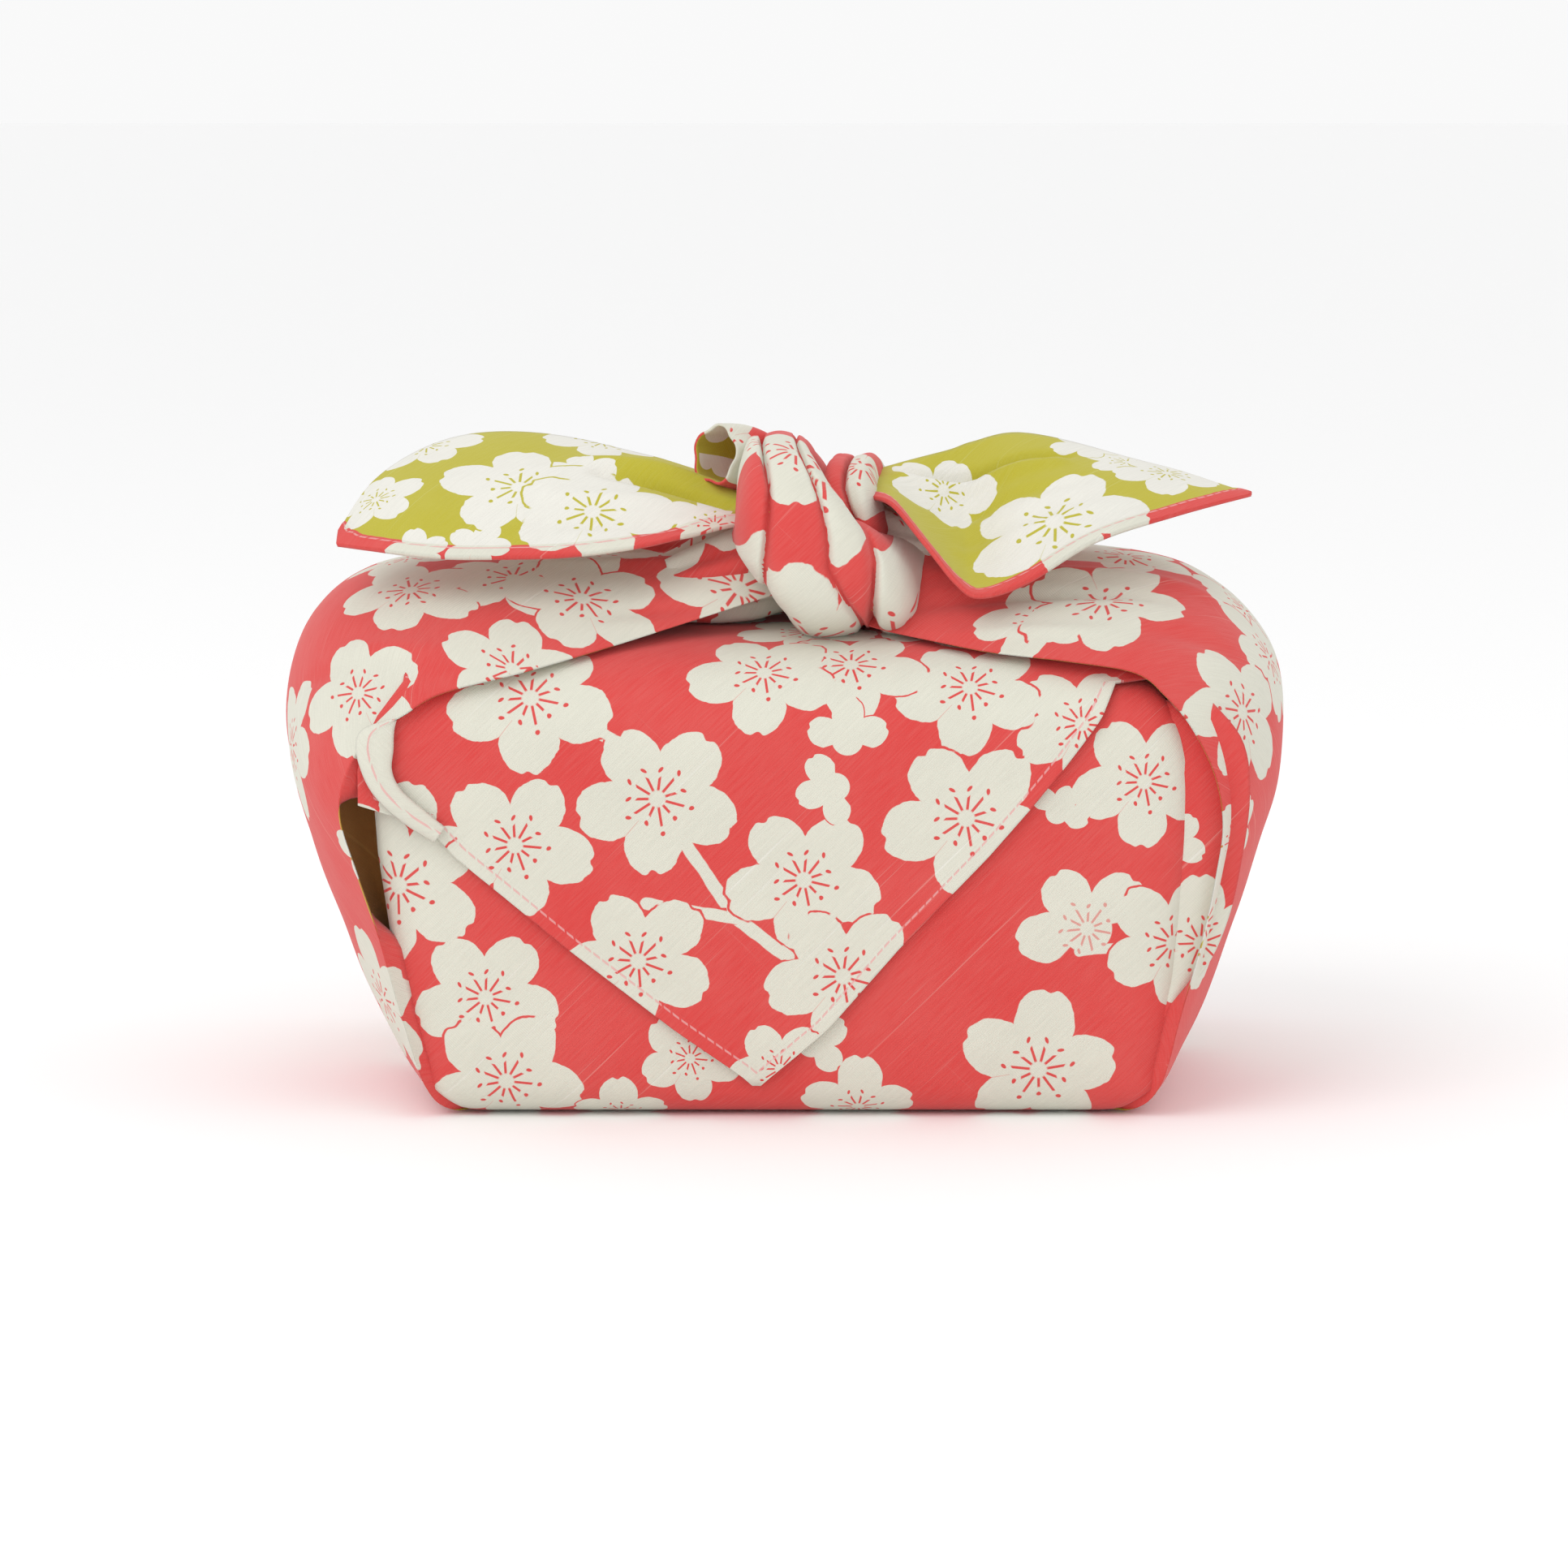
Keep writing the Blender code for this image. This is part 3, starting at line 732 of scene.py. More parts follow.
def store_print(mesh, at, blossoms, twigs):
    """Gives each face the three topmost blossoms and the nearest twig that reach it."""
    middle = at.mean(axis=1)
    reach = np.linalg.norm(at - middle[:, None], axis=-1).max(axis=1)
    table = np.array([(u, v, r, math.radians(turn), *KINDS[kind]) for u, v, turn, r, kind in blossoms])
    gap = np.linalg.norm(middle[:, None] - table[None, :, :2], axis=-1)
    far = table[:, 2] * PRINT_PAST + reach[:, None] + PRINT_SPARE
    order = np.where(gap < far, np.arange(len(table)), -1)
    spare = np.full((len(at), 3), -1)
    order = np.sort(np.concatenate([spare, order], axis=1), axis=1)[:, -3:]
    for k, level in enumerate(LEVELS):
        found = order[:, k]
        chosen = table[found]
        chosen[found < 0] = (NOWHERE, NOWHERE, 1, 0, 0, 0)
        store(mesh, level + "_place", "FACE", chosen[:, :3])
        store(mesh, level + "_form", "FACE", chosen[:, 3:])
    start = np.full((len(at), 3), NOWHERE)
    end = np.full((len(at), 3), NOWHERE + 1)
    nearest = np.full(len(at), np.inf)
    for u0, v0, u1, v1, width in twigs:
        span = np.array((u1 - u0, v1 - v0))
        t = np.clip(((middle - (u0, v0)) @ span) / (span @ span), 0, 1)
        away = np.linalg.norm(middle - (u0, v0) - t[:, None] * span, axis=1)
        close = (away < width + reach) & (away < nearest)
        nearest[close] = away[close]
        start[close] = (u0, v0, width)
        end[close] = (u1, v1, 0)
    store(mesh, "twig_start", "FACE", start)
    store(mesh, "twig_end", "FACE", end)


# Shader groups

class Nodes:
    """Adds nodes to a tree and links them. An input is another node's output, or a plain value."""

    def __init__(self, tree):
        self.tree = tree

    def add(self, kind, inputs=(), **settings):
        node = self.tree.nodes.new("ShaderNode" + kind)
        for name, value in settings.items():
            setattr(node, name, value)
        for key, value in dict(inputs).items():
            if isinstance(value, bpy.types.NodeSocket):
                self.tree.links.new(value, node.inputs[key])
            else:
                node.inputs[key].default_value = value
        return node

    def math(self, operation, *values):
        return self.add("Math", enumerate(values), operation=operation).outputs[0]

    def plus(self, one, two):
        return self.math("ADD", one, two)

    def minus(self, one, two):
        return self.math("SUBTRACT", one, two)

    def times(self, one, two):
        return self.math("MULTIPLY", one, two)

    def over(self, one, two):
        return self.math("DIVIDE", one, two)

    def most(self, one, two):
        return self.math("MAXIMUM", one, two)

    def hypot(self, x, y):
        return self.math("SQRT", self.plus(self.times(x, x), self.times(y, y)))

    def step(self, value, start, end):
        """0 to 1 as the value goes from start to end, softly, also where end is lower."""
        inputs = {"Value": value, "From Min": start, "From Max": end}
        return self.add("MapRange", inputs, interpolation_type="SMOOTHSTEP").outputs["Result"]

    def mix(self, share, one, two):
        inputs = {0: share, 6: one, 7: two}
        return self.add("Mix", inputs, data_type="RGBA").outputs[2]

    def noise(self, place, scale, detail=2.0):
        inputs = {"Vector": place, "Scale": scale, "Detail": detail}
        return self.add("TexNoise", inputs).outputs["Fac"]

    def parts(self, vector):
        return self.add("SeparateXYZ", {0: vector}).outputs

    def attribute(self, name):
        return self.add("Attribute", attribute_name=name).outputs["Vector"]

    def link(self, sockets, values):
        """Links each value to the socket of its name."""
        for name, value in values.items():
            self.tree.links.new(value, sockets[name])


def shader_group(name, inputs, outputs):
    """An empty node group with these sockets: its tree, its nodes, what it is given and what it puts out."""
    tree = bpy.data.node_groups.new(name, "ShaderNodeTree")
    for socket, kind, value in inputs:
        made = tree.interface.new_socket(socket, in_out="INPUT", socket_type="NodeSocket" + kind)
        if value is not None:
            made.default_value = value
    for socket in outputs:
        tree.interface.new_socket(socket, in_out="OUTPUT", socket_type="NodeSocketFloat")
    given, put = tree.nodes.new("NodeGroupInput"), tree.nodes.new("NodeGroupOutput")
    return tree, Nodes(tree), given.outputs, put.inputs


def cherry_blossom_group():
    """One five-petalled blossom with notched petals: its petals, its stamen marks, and the gap round it."""
    tree, n, given, put = shader_group(
        "cherry blossom",
        [(name, "Vector", None) for name in ("Chart", "Place", "Form")] + [("Wander", "Float", 0.0)],
        ["Petals", "Marks", "Gap"],
    )
    chart, place, form = n.parts(given["Chart"]), n.parts(given["Place"]), n.parts(given["Form"])
    radius, turn, shown, stamens = place[2], form[0], form[1], form[2]
    x = n.over(n.minus(chart[0], place[0]), radius)
    y = n.over(n.minus(chart[1], place[1]), radius)
    length = n.hypot(x, y)
    angle = n.math("WRAP", n.minus(n.math("ARCTAN2", y, x), turn), math.pi, -math.pi)
    uneven_by = n.math("SINE", n.math("MULTIPLY_ADD", angle, 2.0, n.times(turn, 7.0)))
    petal_length = n.times(length, n.math("MULTIPLY_ADD", uneven_by, 0.05, 1.0))
    fold = n.math("WRAP", angle, math.pi / 5, -math.pi / 5)
    along = n.times(petal_length, n.math("COSINE", fold))
    aside = n.math("ABSOLUTE", n.times(petal_length, n.math("SINE", fold)))
    a = n.over(n.minus(along, PETAL_MIDDLE), PETAL_LONG)
    b = n.over(aside, PETAL_WIDE)
    notch = n.times(n.step(aside, NOTCH_WIDE, 0.0), NOTCH_DEEP)
    oval = n.plus(n.plus(n.plus(n.times(a, a), n.times(b, b)), notch), given["Wander"])
    showing = n.step(n.math("ABSOLUTE", angle), n.plus(shown, 0.02), n.minus(shown, 0.02))
    petal = n.times(n.step(oval, 1.03, 0.97), showing)
    petals = n.most(petal, n.times(n.step(length, *DISC), n.step(shown, 0.5, 1.0)))
    ray = n.math("WRAP", angle, math.pi / STAMENS, -math.pi / STAMENS)
    out = n.times(length, n.math("COSINE", ray))
    off = n.math("ABSOLUTE", n.times(length, n.math("SINE", ray)))
    reach = n.math("MULTIPLY_ADD", n.math("SINE", n.math("MULTIPLY_ADD", angle, 5.0, 0.6)), 0.06, STAMEN_END)
    line = n.times(n.step(off, *STAMEN_WIDE), n.step(out, *STAMEN_START))
    line = n.times(line, n.step(out, reach, n.minus(reach, 0.02)))
    anther = n.step(n.hypot(n.minus(out, n.plus(reach, ANTHER_AWAY)), off), *ANTHER_WIDE)
    marks = n.times(n.most(line, anther), stamens)
    gap = n.times(n.step(oval, *GAP_WIDE), showing)
    n.link(put, {"Petals": petals, "Marks": marks, "Gap": gap})
    return tree


def blossom_print_group(blossom):
    """The print: 1 where blossoms or twigs are, and 0 on the ground. Three blossoms lie over each other."""
    tree, n, given, put = shader_group(
        "blossom print", [("Chart", "Vector", None), ("Overlap lines", "Float", 0.5)], ["Print"]
    )
    chart, lines = given["Chart"], given["Overlap lines"]
    wander = n.times(n.minus(n.noise(chart, 0.16, 3.0), 0.5), 0.55)
    start, end = n.parts(n.attribute("twig_start")), n.parts(n.attribute("twig_end"))
    place = n.parts(chart)
    du, dv = n.minus(end[0], start[0]), n.minus(end[1], start[1])
    pu, pv = n.minus(place[0], start[0]), n.minus(place[1], start[1])
    dot = n.plus(n.times(du, pu), n.times(dv, pv))
    long = n.plus(n.times(du, du), n.times(dv, dv))
    t = n.add("Clamp", {0: n.over(dot, long)}).outputs[0]
    away = n.hypot(n.minus(pu, n.times(t, du)), n.minus(pv, n.times(t, dv)))
    half = n.plus(n.times(start[2], 0.5), n.times(wander, 1.5))
    printed_on = n.step(away, n.plus(half, 0.15), n.minus(half, 0.15))
    broken = n.step(n.noise(chart, 0.09, 1.0), n.plus(lines, 0.03), lines)
    for level in LEVELS:
        node = n.add("Group", node_tree=blossom)
        n.link(node.inputs, {
            "Chart": chart,
            "Place": n.attribute(level + "_place"),
            "Form": n.attribute(level + "_form"),
            "Wander": wander,
        })
        kept = n.minus(1.0, n.times(node.outputs["Gap"], broken))
        printed_on = n.most(n.times(printed_on, kept), node.outputs["Petals"])
        printed_on = n.times(printed_on, n.minus(1.0, node.outputs["Marks"]))
    n.link(put, {"Print": printed_on})
    return tree


def slub_weave_group():
    """Plain weave with thick slub threads, on the bias: its height, its pale slubs and its mottling."""
    tree, n, given, put = shader_group(
        "slub weave",
        [("Chart", "Vector", None), ("Bias", "Float", 0.785), ("Pitch", "Float", 0.5)],
        ["Height", "Slubs", "Mottling"],
    )
    turned = n.add("VectorRotate", {"Vector": given["Chart"], "Angle": given["Bias"]}, rotation_type="Z_AXIS")
    p = n.parts(turned.outputs[0])
    beat = n.over(2 * math.pi, given["Pitch"])
    warp, weft = (n.math("SINE", n.times(way, beat)) for way in p[:2])

    def streaks(across, down, seed):
        place = {0: n.times(p[0], across), 1: n.times(p[1], down), 2: seed}
        return n.noise(n.add("CombineXYZ", place).outputs[0], 1.0, 2.0)

    warp_slub = n.step(streaks(1.1, 0.011, 3.0), 0.64, 0.74)
    weft_slub = n.step(streaks(0.02, 1.1, 9.0), 0.70, 0.80)
    fine = streaks(2.4, 0.12, 17.0)
    slubs = n.most(warp_slub, n.times(weft_slub, 0.35))
    cloth = n.times(n.plus(warp, weft), 0.12)
    height = n.plus(n.plus(cloth, n.times(fine, 0.7)), n.times(slubs, 0.8))
    cloudy = n.noise(given["Chart"], 0.03, 2.0)
    mottling = n.plus(n.times(fine, 0.6), n.times(cloudy, 0.4))
    n.link(put, {"Height": height, "Slubs": slubs, "Mottling": mottling})
    return tree


def hem_stitch_group():
    """A hem's line of machine stitches: the thread, the hem, and the step where its ply ends."""
    tree, n, given, put = shader_group(
        "hem stitches",
        [("Chart", "Vector", None), ("Stitch inset", "Float", 3.3), ("Hem", "Float", HEM)],
        ["Thread", "Hem", "Height"],
    )
    p = n.parts(given["Chart"])
    edge = p[2]
    beat = n.math("WRAP", n.plus(p[0], n.times(p[1], 0.13)), 1.0, -1.0)
    dash = n.step(n.math("ABSOLUTE", beat), 0.82, 0.70)
    off = n.math("ABSOLUTE", n.minus(edge, given["Stitch inset"]))
    thread = n.times(n.step(off, 0.34, 0.16), dash)
    hem = n.step(edge, n.plus(given["Hem"], 0.15), n.minus(given["Hem"], 0.15))
    groove = n.times(n.step(off, 1.1, 0.1), -0.6)
    height = n.plus(n.plus(groove, thread), n.times(hem, 0.5))
    n.link(put, {"Thread": thread, "Hem": hem, "Height": height})
    return tree


def cotton(name, groups, ground, pale, blossom, hem_print=None):
    """Printed slub cotton. Where hem_print is given, the hem shows the cloth's other side."""
    material = bpy.data.materials.new(name)
    material.use_nodes = True
    tree = material.node_tree
    n = Nodes(tree)
    shader = tree.nodes["Principled BSDF"]
    chart = n.attribute("chart")
    placed = {}
    for key, group in groups.items():
        node = n.add("Group", node_tree=group)
        n.link(node.inputs, {"Chart": chart})
        placed[key] = node.outputs
    slubs = placed["weave"]["Slubs"]
    mottling = n.step(placed["weave"]["Mottling"], 0.3, 0.7)

    def dyed(ground, pale, blossom):
        base = n.mix(n.times(mottling, 0.16), ground, pale)
        base = n.mix(n.times(slubs, 0.6), base, pale)
        shade = tuple(BLOSSOM_SHADE * c for c in blossom[:3]) + (1,)
        flower = n.mix(n.times(mottling, 0.7), shade, blossom)
        flower = n.mix(n.times(slubs, 0.5), flower, WHITE)
        return n.mix(placed["print"]["Print"], base, flower)

    color = dyed(ground, pale, blossom)
    if hem_print is not None:
        color = n.mix(placed["hem"]["Hem"], color, dyed(*hem_print))
    color = n.mix(n.times(placed["hem"]["Thread"], 0.75), color, THREAD)
    rough = n.math("MULTIPLY_ADD", mottling, -0.08, 0.9)
    height = n.plus(placed["weave"]["Height"], placed["hem"]["Height"])
    bump = n.add("Bump", {"Height": height, "Strength": 0.35, "Distance": 0.0003})
    n.link(shader.inputs, {"Base Color": color, "Roughness": rough, "Normal": bump.outputs["Normal"]})
    shader.inputs["Sheen Weight"].default_value = 0.15
    shader.inputs["Sheen Roughness"].default_value = 0.5
    shader.inputs["Specular IOR Level"].default_value = 0.25
    return material


def cloth_materials():
    """The cloth's two sides, and the inner side with the shade of a deep fold painted into its colour."""
    groups = {
        "print": blossom_print_group(cherry_blossom_group()),
        "weave": slub_weave_group(),
        "hem": hem_stitch_group(),
    }
    coral = cotton("coral side", groups, CORAL, CORAL_LIGHT, CREAM)
    lime = cotton("lime side", groups, LIME, LIME_LIGHT, WHITE, (CORAL, CORAL_LIGHT, CREAM))
    # Painted shade: the lime side's colours darkened for the shadow of a deep fold.
    deep = cotton("lime side, painted fold shade", groups, PAINTED_SHADE_LIME, PAINTED_SHADE_LIME_PALE, CREAM)
    return coral, lime, deep


# The cloth's pieces

def crease_x(table, z):
    return np.interp(z, *zip(*table))


def belt_strip():
    """The strip seen from the side, at even steps: its row numbers, its y and z, and the way out of it."""
    fine = np.linspace(STRIP_START, STRIP_END, STRIP_SAMPLES)
    gone = run(spline_at(BELT_SIDE, fine, closed=True), 0)
    along = np.interp(np.linspace(0, gone[-1], round(gone[-1] / CELL)), gone, fine)
    side = spline_at(BELT_SIDE, along, closed=True)
    side[:, 1] = np.maximum(side[:, 1], 0)
    # The loop runs backwards, so its left is inside.
    way = unit(slopes(side, 0))
    out = np.stack([way[:, 1], -way[:, 0]], axis=1)
    proud = FLAP_PROUD * ramp(-along, *FLAP_RISES) - START_DEEP * ramp(along, *START_HIDES)
    return along, side + out * proud[:, None], out


def strip_sides(along, z):
    """The strip's left and right edge at each row: the belt's creases, and then the flap's edges."""
    levels, flap_left, flap_right = np.array(FLAP[::-1], float).T
    on_flap = (along < -FLAP_RISES[1]) & (z < levels[-1])
    left = np.where(on_flap, np.interp(z, levels, flap_left), crease_x(BELT_LEFT, z))
    right = np.where(on_flap, np.interp(z, levels, flap_right), crease_x(BELT_RIGHT, z))
    return left, right


def strip_grid(along, side, out):
    """The strip's mesh, whose edges turn in past its creases."""
    z = side[:, 1]
    left, right = strip_sides(along, z)
    inside, deep = np.array(RETURN, float).T
    turned = 1 - ramp(-along, *CREASES_END)[:, None]
    tight = FOOT_TIGHT + (1 - FOOT_TIGHT) * ramp(z, *FOOT)[:, None]
    narrow = np.minimum(1, (right - left) / NARROW)[:, None]
    margin = (inside * tight + (1 - turned) * FLAP_MARGIN * (deep[-1] - deep)) * narrow
    columns = round((BELT_RIGHT[3][1] - BELT_LEFT[3][1]) / CELL)
    share = np.linspace(0, 1, columns + 2)[1:-1]
    first, last = left + margin[:, 0], right - margin[:, 0]
    x = np.concatenate([
        (left[:, None] + margin)[:, ::-1],
        first[:, None] + share * (last - first)[:, None],
        right[:, None] - margin,
    ], axis=1)
    depth = np.concatenate([deep[::-1], 0 * share, deep]) * turned * tight
    return np.concatenate([x[..., None], side[:, None] - out[:, None] * depth[..., None]], axis=-1)


def strip_print(chart, panel_foot, flap_foot):
    """The repeat, and the blossoms and twigs placed one by one on the panel and on the flap."""
    blossoms, twigs = repeated(chart, BODY_SHIFT, (
        (-FREE_HALF, PANEL_FREE[0] - panel_foot, FREE_HALF, PANEL_FREE[1]),
        (-FREE_HALF, FLAP_FREE[0] - flap_foot, FREE_HALF, FLAP_FREE[1] - flap_foot),
    ))
    for foot, own_blossoms, own_twigs in (
        (panel_foot, PANEL_BLOSSOMS, PANEL_TWIGS),
        (flap_foot, FLAP_BLOSSOMS, FLAP_TWIGS),
    ):
        blossoms += [(u, v - foot, *rest) for u, v, *rest in own_blossoms]
        twigs += [(u0, v0 - foot, u1, v1 - foot, width) for u0, v0, u1, v1, width in own_twigs]
    return blossoms, twigs


def body(coral, lime):
    """The front panel, bottom, back, top and flap: one strip of cloth that goes round and overlaps itself."""
    along, side, out = belt_strip()
    grid = strip_grid(along, side, out)
    z = side[:, 1]
    length = run(side, 0)
    panel_foot = length[np.argmin(np.where(along > 0, np.abs(z - FOOT_LEVEL), np.inf))] + FOOT_LEVEL
    flap_foot = length[-1] + z[-1]
    past = run(grid, 1)
    center = grid.shape[1] // 2
    across = past - past[:, [center]] + grid[:, [center], 0]
    chart = np.stack([across, -length[:, None] + 0 * across], axis=-1)
    hem = [(x, level - flap_foot) for level, x, _ in FLAP]
    hem += [(x, level - flap_foot) for level, _, x in FLAP[::-1]]
    edge = np.where(along[:, None] < -HEM_FROM, line_distance(chart, hem), NO_EDGE)
    soft = uneven(chart, BODY_WAVES) * ramp(z, *RESTING)[:, None]
    grid = grid + outward(grid) * soft[..., None]
    print_on = strip_print(chart, panel_foot, flap_foot)
    piece = cloth_sheet("body_and_flap", grid, chart, print_on, coral, lime, edge)


def tuck(edge, side, loop):
    """Where a wing's edge turns in to the belt: the nearest place on its loop, inside the crease."""
    nearest = loop[np.argmin(np.hypot(loop[:, 0] - edge[1], loop[:, 1] - edge[2]))]
    crease = crease_x(BELT_RIGHT if side > 0 else BELT_LEFT, nearest[1])
    x = side * min(side * edge[0] - SEAT_LEAST, side * crease - SEAT_ALONG)
    return np.array((x, nearest[0] - SEAT_DEEP * np.sign(nearest[0]), nearest[1]))


def fold_under(edge, side, seat):
    """A few points of a soft fold from where its cloth is tucked round to an edge."""
    t = np.array(FOLD_STEPS)[:, None]
    return edge + (seat - edge) * t + np.array((side * FOLD_OUT, 0, 0)) * FOLD_FULL * np.sin(math.pi * t)


def wing_line(number, row, side, gap, loop):
    """One section of a wing: from under its front edge, over its crest, to under its back edge."""
    front, crest = row[:3], row[3:6]
    back = np.array((front[0], row[6], front[2]))
    share = np.linspace(0, 1, WING_HALF) ** WING_CLOSER
    rise = 1 - (1 - share) ** WING_ROUNDING
    above = ramp(number, *OVER_THE_TOP)
    halves, seats = [], []
    for edge, way in ((front, 1), (back, -1)):
        half = edge + (crest - edge) * rise[:, None]
        half[:, 1] = edge[1] + (crest[1] - edge[1]) * share
        halves.append(half)
        straight_back = edge + (0, way * FOLD_BACK, FOLD_RISE)
        seats.append(tuck(edge, side, loop) * (1 - above) + straight_back * above)
    starts, ends = gap[0] + np.array(GAP_STARTS), gap[1] + np.array(GAP_ENDS)
    free = ramp(number, *starts) * (1 - ramp(number, *ends))
    seats[0] = seats[0] * (1 - free) + (front + (side * GAP_TURN, GAP_DEEP, 0)) * free
    under = [fold_under(edge, side, seat) for edge, seat in zip((front, back), seats)]
    return np.concatenate([under[0], halves[0], halves[1][-2::-1], under[1][::-1]])


def wing(name, table, side, gap, outside, inside, print_on, folds, bumps):
    """A side of the cloth, drawn up into the knot, with its front and back edges folded under."""
    loop = spline(BELT_SIDE, LOOP_SAMPLES, closed=True)
    numbers = np.linspace(0, len(table) - 1, WING_ROWS)
    rows = spline(table, WING_ROWS)
    grid = np.array([wing_line(number, row, side, gap, loop) for number, row in zip(numbers, rows)])
    if side > 0:
        grid = grid[:, ::-1]
    chart = flattened(grid)
    column = np.arange(grid.shape[1])
    from_edge = np.minimum(column, column[::-1])
    full = ramp(np.abs(from_edge - FOLD_COLUMN), 0, FOLD_SPREAD)[:, None]
    thick = CLOTH * (FOLD_THIN + (1 - FOLD_THIN) * full)
    fading = ramp(np.linspace(0, 1, WING_ROWS), *STIFF_FOOT)[:, None] * ramp(from_edge, *STIFF_EDGE)
    soft = (uneven(chart, bumps) + creased(chart, folds)) * fading
    grid = grid + outward(grid) * soft[..., None]
    grid[..., 2] = np.maximum(grid[..., 2], WING_LOWEST)
    piece = cloth_sheet(name, grid, chart, printed(chart, print_on), outside, inside, thick=thick)


def gap_ply(name, table, deep, outside, inside, blossoms):
    """A ply that closes the gap between the panel and a wing."""
    rows = spline(np.array(table, float), PLY_ROWS)
    z, near, far = rows.T[..., None]
    t = np.linspace(0, 1, PLY_COLUMNS)
    panel = [(level, y) for y, level in BELT_SIDE if y < FRONT_BEYOND]
    x = near + (far - near) * t
    y = crease_x(panel, z) + deep[0] + (deep[1] - deep[0]) * np.sin(math.pi * t)
    grid = np.stack([x, y, z + 0 * x], axis=-1)
    if far[0] > near[0]:
        grid = grid[:, ::-1]
    chart = np.stack([np.abs(grid[..., 0] - table[0][1]), grid[..., 2]], axis=-1)
    piece = cloth_sheet(name, grid, chart, (blossoms, ()), outside, inside)


def curled_hem(coral, lime):
    """The flap's hem where it curls up beside the left wing, with its stitched underside showing."""
    rows = spline(CURLED_HEM, CURL_ROWS)
    t = np.linspace(0, 1, CURL_COLUMNS)
    low, high = rows[:, :3], rows[:, 3:]
    grid = low[:, None] + (high - low)[:, None] * t[:, None]
    grid[..., 1] -= CURL_PROUD * np.sin(math.pi * t) ** CURL_SQUARE
    grid = grid[:, ::-1]
    across = run(grid, 1)
    along = run(grid, 0)[:, [CURL_COLUMNS // 2]]
    chart = np.stack([across, along + 0 * across], axis=-1)
    edge = across[:, [-1]] - across
    piece = cloth_sheet("curled_hem", grid, chart, (CURLED_PRINT, ()), coral, lime, edge)


def groove_line(groove, level):
    """Where a groove runs across a band at a level, from -1 to 1."""
    return np.interp(level, GROOVE_LEVELS, groove[:3])


def grooved(w, level, grooves):
    """How far a band's face stands in: tight grooves with round pleats between them."""
    share, wider = GROOVE_SHOULDER
    dip = np.zeros(np.broadcast(w, level).shape)
    for groove in grooves:
        deep, narrow = groove[3:]
        away = np.abs(w - groove_line(groove, level))
        tight = np.exp(-(away / narrow) ** 2)
        dip += deep * (tight + share * np.exp(-(away / (wider * narrow)) ** 2))
    return dip


def band_loop(reach):
    """A band's loop at even steps, from behind over the top: how far back and how high, from -1 to 1, and how
    far up it is from the middle of its front."""
    around = np.linspace(0, 2 * math.pi, BAND_FINE * BAND_ROUND + 1)
    square = np.where(np.sin(around) < 0, LOOP_BELOW, LOOP_ABOVE)
    loop = np.stack([np.cos(around), np.sin(around)], axis=1)
    loop = np.sign(loop) * np.abs(loop) ** square[:, None]
    gone = run(loop * reach, 0)
    even = np.linspace(0, gone[-1], BAND_ROUND + 1)
    back, level = (np.interp(even, gone, way)[None, :-1] for way in loop.T)
    return back, level, np.interp(math.pi, around, gone) - even


def band(name, spec, grooves, outside, inside, print_on):
    """A pleated band round an axis along x, with its sides turned in."""
    middle, reach = spec["middle"], spec["reach"]
    back, level, up = band_loop(reach)
    w = np.sin(np.linspace(-math.pi / 2, math.pi / 2, BAND_ACROSS))[1:-1, None]
    crown = np.maximum(1 - np.abs(w) ** BAND_SQUARE, 0) ** BAND_EDGE
    dip = grooved(w, level, grooves)
    levels, left, right = np.array(spec["sides"], float).T
    left, right = np.interp(level, levels, left), np.interp(level, levels, right)
    x = left + (right - left) * (w + 1) / 2
    y = (reach[0] * crown - dip) * back
    z = (reach[1] * crown - dip) * level
    swing = math.radians(spec["turn"])
    grid = np.stack([
        middle[0] + x * math.cos(swing) - y * math.sin(swing),
        middle[1] + x * math.sin(swing) + y * math.cos(swing),
        middle[2] + z,
    ], axis=-1)
    pleat = sum(ramp(w - groove_line(groove, level), -GROOVE_STEP, GROOVE_STEP) for groove in grooves)
    u = x + PLEAT_APART * pleat
    u = np.concatenate([u, u[:, :1]], axis=1)
    chart = np.stack([u, up + 0 * u], axis=-1)
    tube_sheet(name, grid[::-1], outside, inside, print_on, chart[::-1])


def tube_sheet(name, grid, outside, inside, print_on, chart=None):
    """A sheet on a grid whose columns run closed."""
    if chart is None:
        whole = np.concatenate([grid, grid[:, :1]], axis=1)
        across, round_it = run(whole, 0), run(whole, 1).mean(axis=0)
        chart = np.stack([across - across[[len(grid) // 2]], round_it + 0 * across], axis=-1)
    soft = uneven(grid[..., [0, 2]] + grid[..., [1, 1]], TUBE_WAVES)
    grid = grid + outward(grid, True) * soft[..., None]
    piece = cloth_sheet(name, grid, chart, printed(chart, print_on), outside, inside, closed=True)


def pleated_tube(path, rows, sides, pleats, pleat):
    """A tube along a path whose wall goes in at its pleats by this share of its radius."""
    points = spline(np.array(path, float), rows)
    middle, radius = points[:, :3], points[:, 3:]
    along = unit(slopes(middle, 0))
    side = unit(np.cross(along, (0, 0, 1)))
    up = np.cross(side, along)
    turns = np.linspace(0, 2 * math.pi, sides, endpoint=False)
    twist = PLEAT_TWIST * np.arange(rows)[:, None]
    fold = 1 - pleat * np.abs(np.cos(turns * pleats / 2 + twist)) ** PLEAT_SHARP
    ring = side[:, None] * np.cos(turns)[:, None] + up[:, None] * np.sin(turns)[:, None]
    return middle[:, None] + ring * (radius * fold)[..., None]


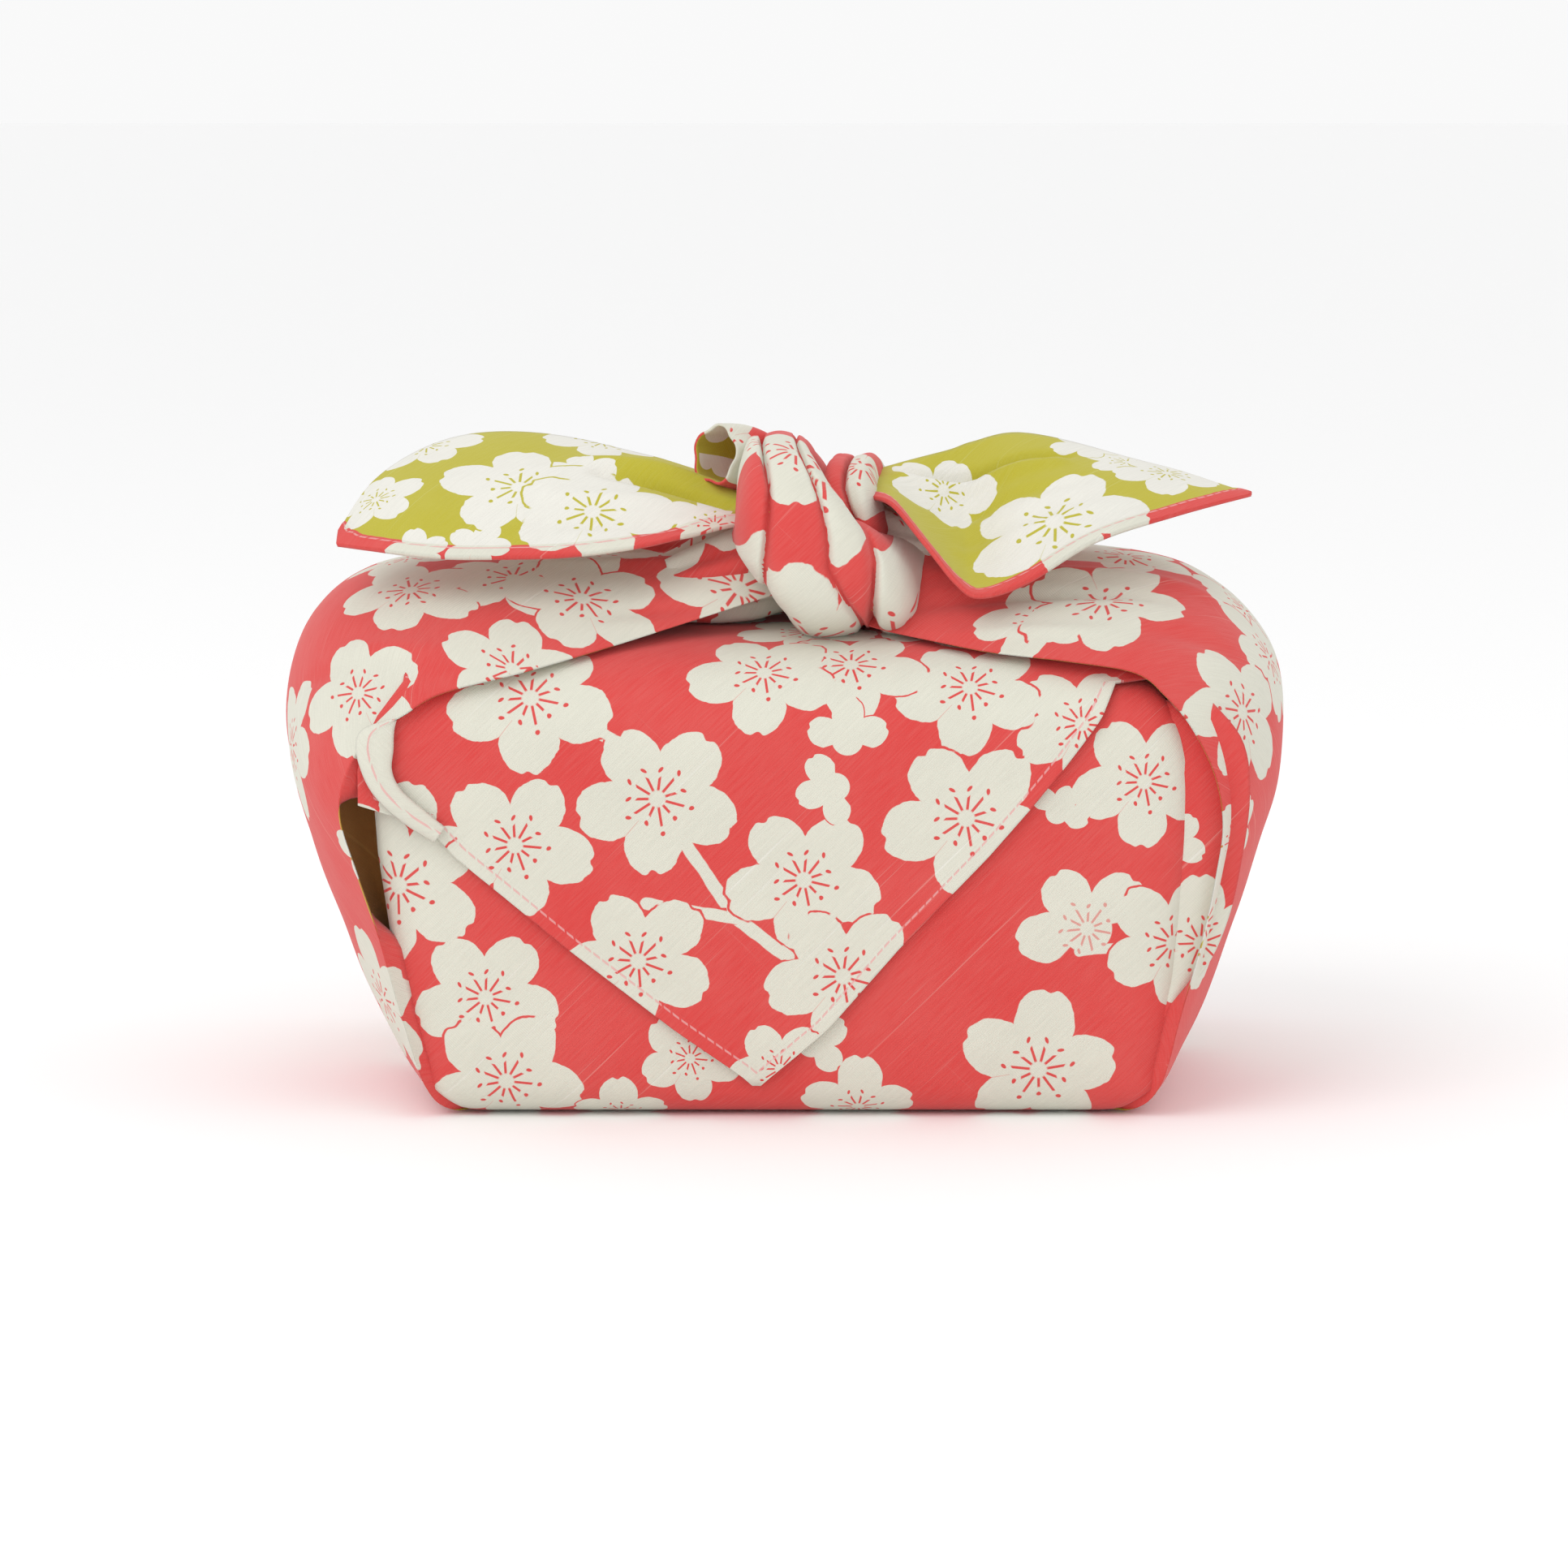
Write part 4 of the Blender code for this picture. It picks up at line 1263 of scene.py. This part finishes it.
def tail(name, table, outside, inside, print_on, folds):
    """A free corner of the cloth, hemmed along its front edge and its end."""
    x, near_y, near_z, far_y, far_z, belly = spline(table, TAIL_ROWS).T[..., None]
    share = np.linspace(0, 1, TAIL_COLUMNS)
    bulge = belly * np.sin(math.pi * share)
    y = near_y + (far_y - near_y) * share - BELLY_OUT * bulge
    z = near_z + (far_z - near_z) * share + BELLY_UP * bulge
    grid = np.stack([x + 0 * y, y, z], axis=-1)
    to_left = table[-1][0] < 0
    if to_left:
        grid = grid[::-1]
    chart = flattened(grid)
    hemmed = [chart[::-1, 0], chart[0]] if to_left else [chart[:, 0], chart[-1]]
    edge = line_distance(chart, np.concatenate(hemmed)[::2])
    soft = uneven(chart, TAIL_WAVES) + creased(chart, folds)
    grid = grid + outward(grid) * soft[..., None]
    piece = cloth_sheet(name, grid, chart, printed(chart, print_on), outside, inside, edge)


def wrap():
    """The whole cloth, piece by piece."""
    coral, lime, deep = cloth_materials()
    body(coral, lime)
    for name, table, side, gap, print_on, folds, bumps in (
        ("left_wing", LEFT_WING, -1, LEFT_GAP, LEFT_WING_PRINT, LEFT_WING_FOLDS, LEFT_WING_WAVES),
        ("right_wing", RIGHT_WING, 1, RIGHT_GAP, RIGHT_WING_PRINT, RIGHT_WING_FOLDS, RIGHT_WING_WAVES),
    ):
        wing(name, table, side, gap, coral, lime, print_on, folds, bumps)
    # The left ply is coloured with deep: the lime side with a deep fold's shade painted in.
    gap_ply("left_gap_ply", LEFT_PLY, LEFT_PLY_DEEP, deep, coral, FAR_OFF)
    gap_ply("right_gap_ply", RIGHT_PLY, RIGHT_PLY_DEEP, coral, lime, RIGHT_PLY_PRINT)
    curled_hem(coral, lime)
    band("main_band", MAIN_BAND, MAIN_GROOVES, coral, lime, MAIN_BAND_PRINT)
    band("second_band", SECOND_BAND, SECOND_GROOVES, coral, lime, SECOND_BAND_PRINT)
    tube_sheet("roll", pleated_tube(**ROLL), coral, lime, PLAIN)
    tube_sheet("strands", pleated_tube(**STRANDS), coral, lime, PLAIN)
    tail("left_tail", LEFT_TAIL, lime, coral, LEFT_TAIL_PRINT, LEFT_TAIL_FOLDS)
    tail("right_tail", RIGHT_TAIL, lime, coral, RIGHT_TAIL_PRINT, RIGHT_TAIL_FOLDS)


# The studio

FLOOR_HALF = 60.0
LIGHT_SIZE, LIT_PLACE = 1.2, (0, 0, 0.08)
LIGHTS = (
    # name, place in metres, power in watts
    ("key", (-0.9, -1.1, 1.3), 9),
    ("fill", (1.2, -0.9, 0.6), 1.5),
)


def area_light(name, place, power):
    """A square soft light that looks at the wrap."""
    light = bpy.data.lights.new(name, "AREA")
    light.energy = power
    light.size = LIGHT_SIZE
    obj = new_object(name, light)
    obj.location = place
    away = np.array(obj.location) - np.array(LIT_PLACE)
    flat = math.hypot(away[0], away[1])
    obj.rotation_euler = (math.atan2(flat, away[2]), 0, math.atan2(away[0], -away[1]))


def pale_floor():
    """A plain floor of paper, a little uneven in its white."""
    mesh = bpy.data.meshes.new("floor")
    corners = [(x * FLOOR_HALF, y * FLOOR_HALF, 0) for x, y in ((-1, -1), (1, -1), (1, 1), (-1, 1))]
    mesh.from_pydata(corners, [], [(0, 1, 2, 3)])
    pale = bpy.data.materials.new("pale floor")
    pale.use_nodes = True
    n = Nodes(pale.node_tree)
    shader = pale.node_tree.nodes["Principled BSDF"]
    spots = n.noise(n.add("TexCoord").outputs["Object"], 40.0, 3.0)
    color = n.mix(n.times(spots, 0.02), (0.98, 0.98, 0.98, 1), (0.9, 0.9, 0.9, 1))
    n.link(shader.inputs, {"Base Color": color})
    shader.inputs["Roughness"].default_value = 0.8
    mesh.materials.append(pale)
    new_object("floor", mesh)


def front_camera():
    """The camera of the photograph's view."""
    data = bpy.data.cameras.new("camera")
    data.lens = LENS
    data.sensor_width = SENSOR
    camera = new_object("camera", data)
    up = math.radians(CAMERA_UP)
    camera.location = (0, -CAMERA_AWAY * math.cos(up) * MM, (TARGET_Z + CAMERA_AWAY * math.sin(up)) * MM)
    camera.rotation_euler = (math.pi / 2 - up, 0, 0)
    bpy.context.scene.camera = camera


def studio():
    scene = bpy.context.scene
    scene.view_settings.view_transform = "Standard"
    scene.world = bpy.data.worlds.new("studio")
    scene.world.use_nodes = True
    background = scene.world.node_tree.nodes["Background"].inputs
    background["Color"].default_value = (1, 1, 1, 1)
    background["Strength"].default_value = 0.95
    for light in LIGHTS:
        area_light(*light)
    pale_floor()
    front_camera()


studio()
wrap()
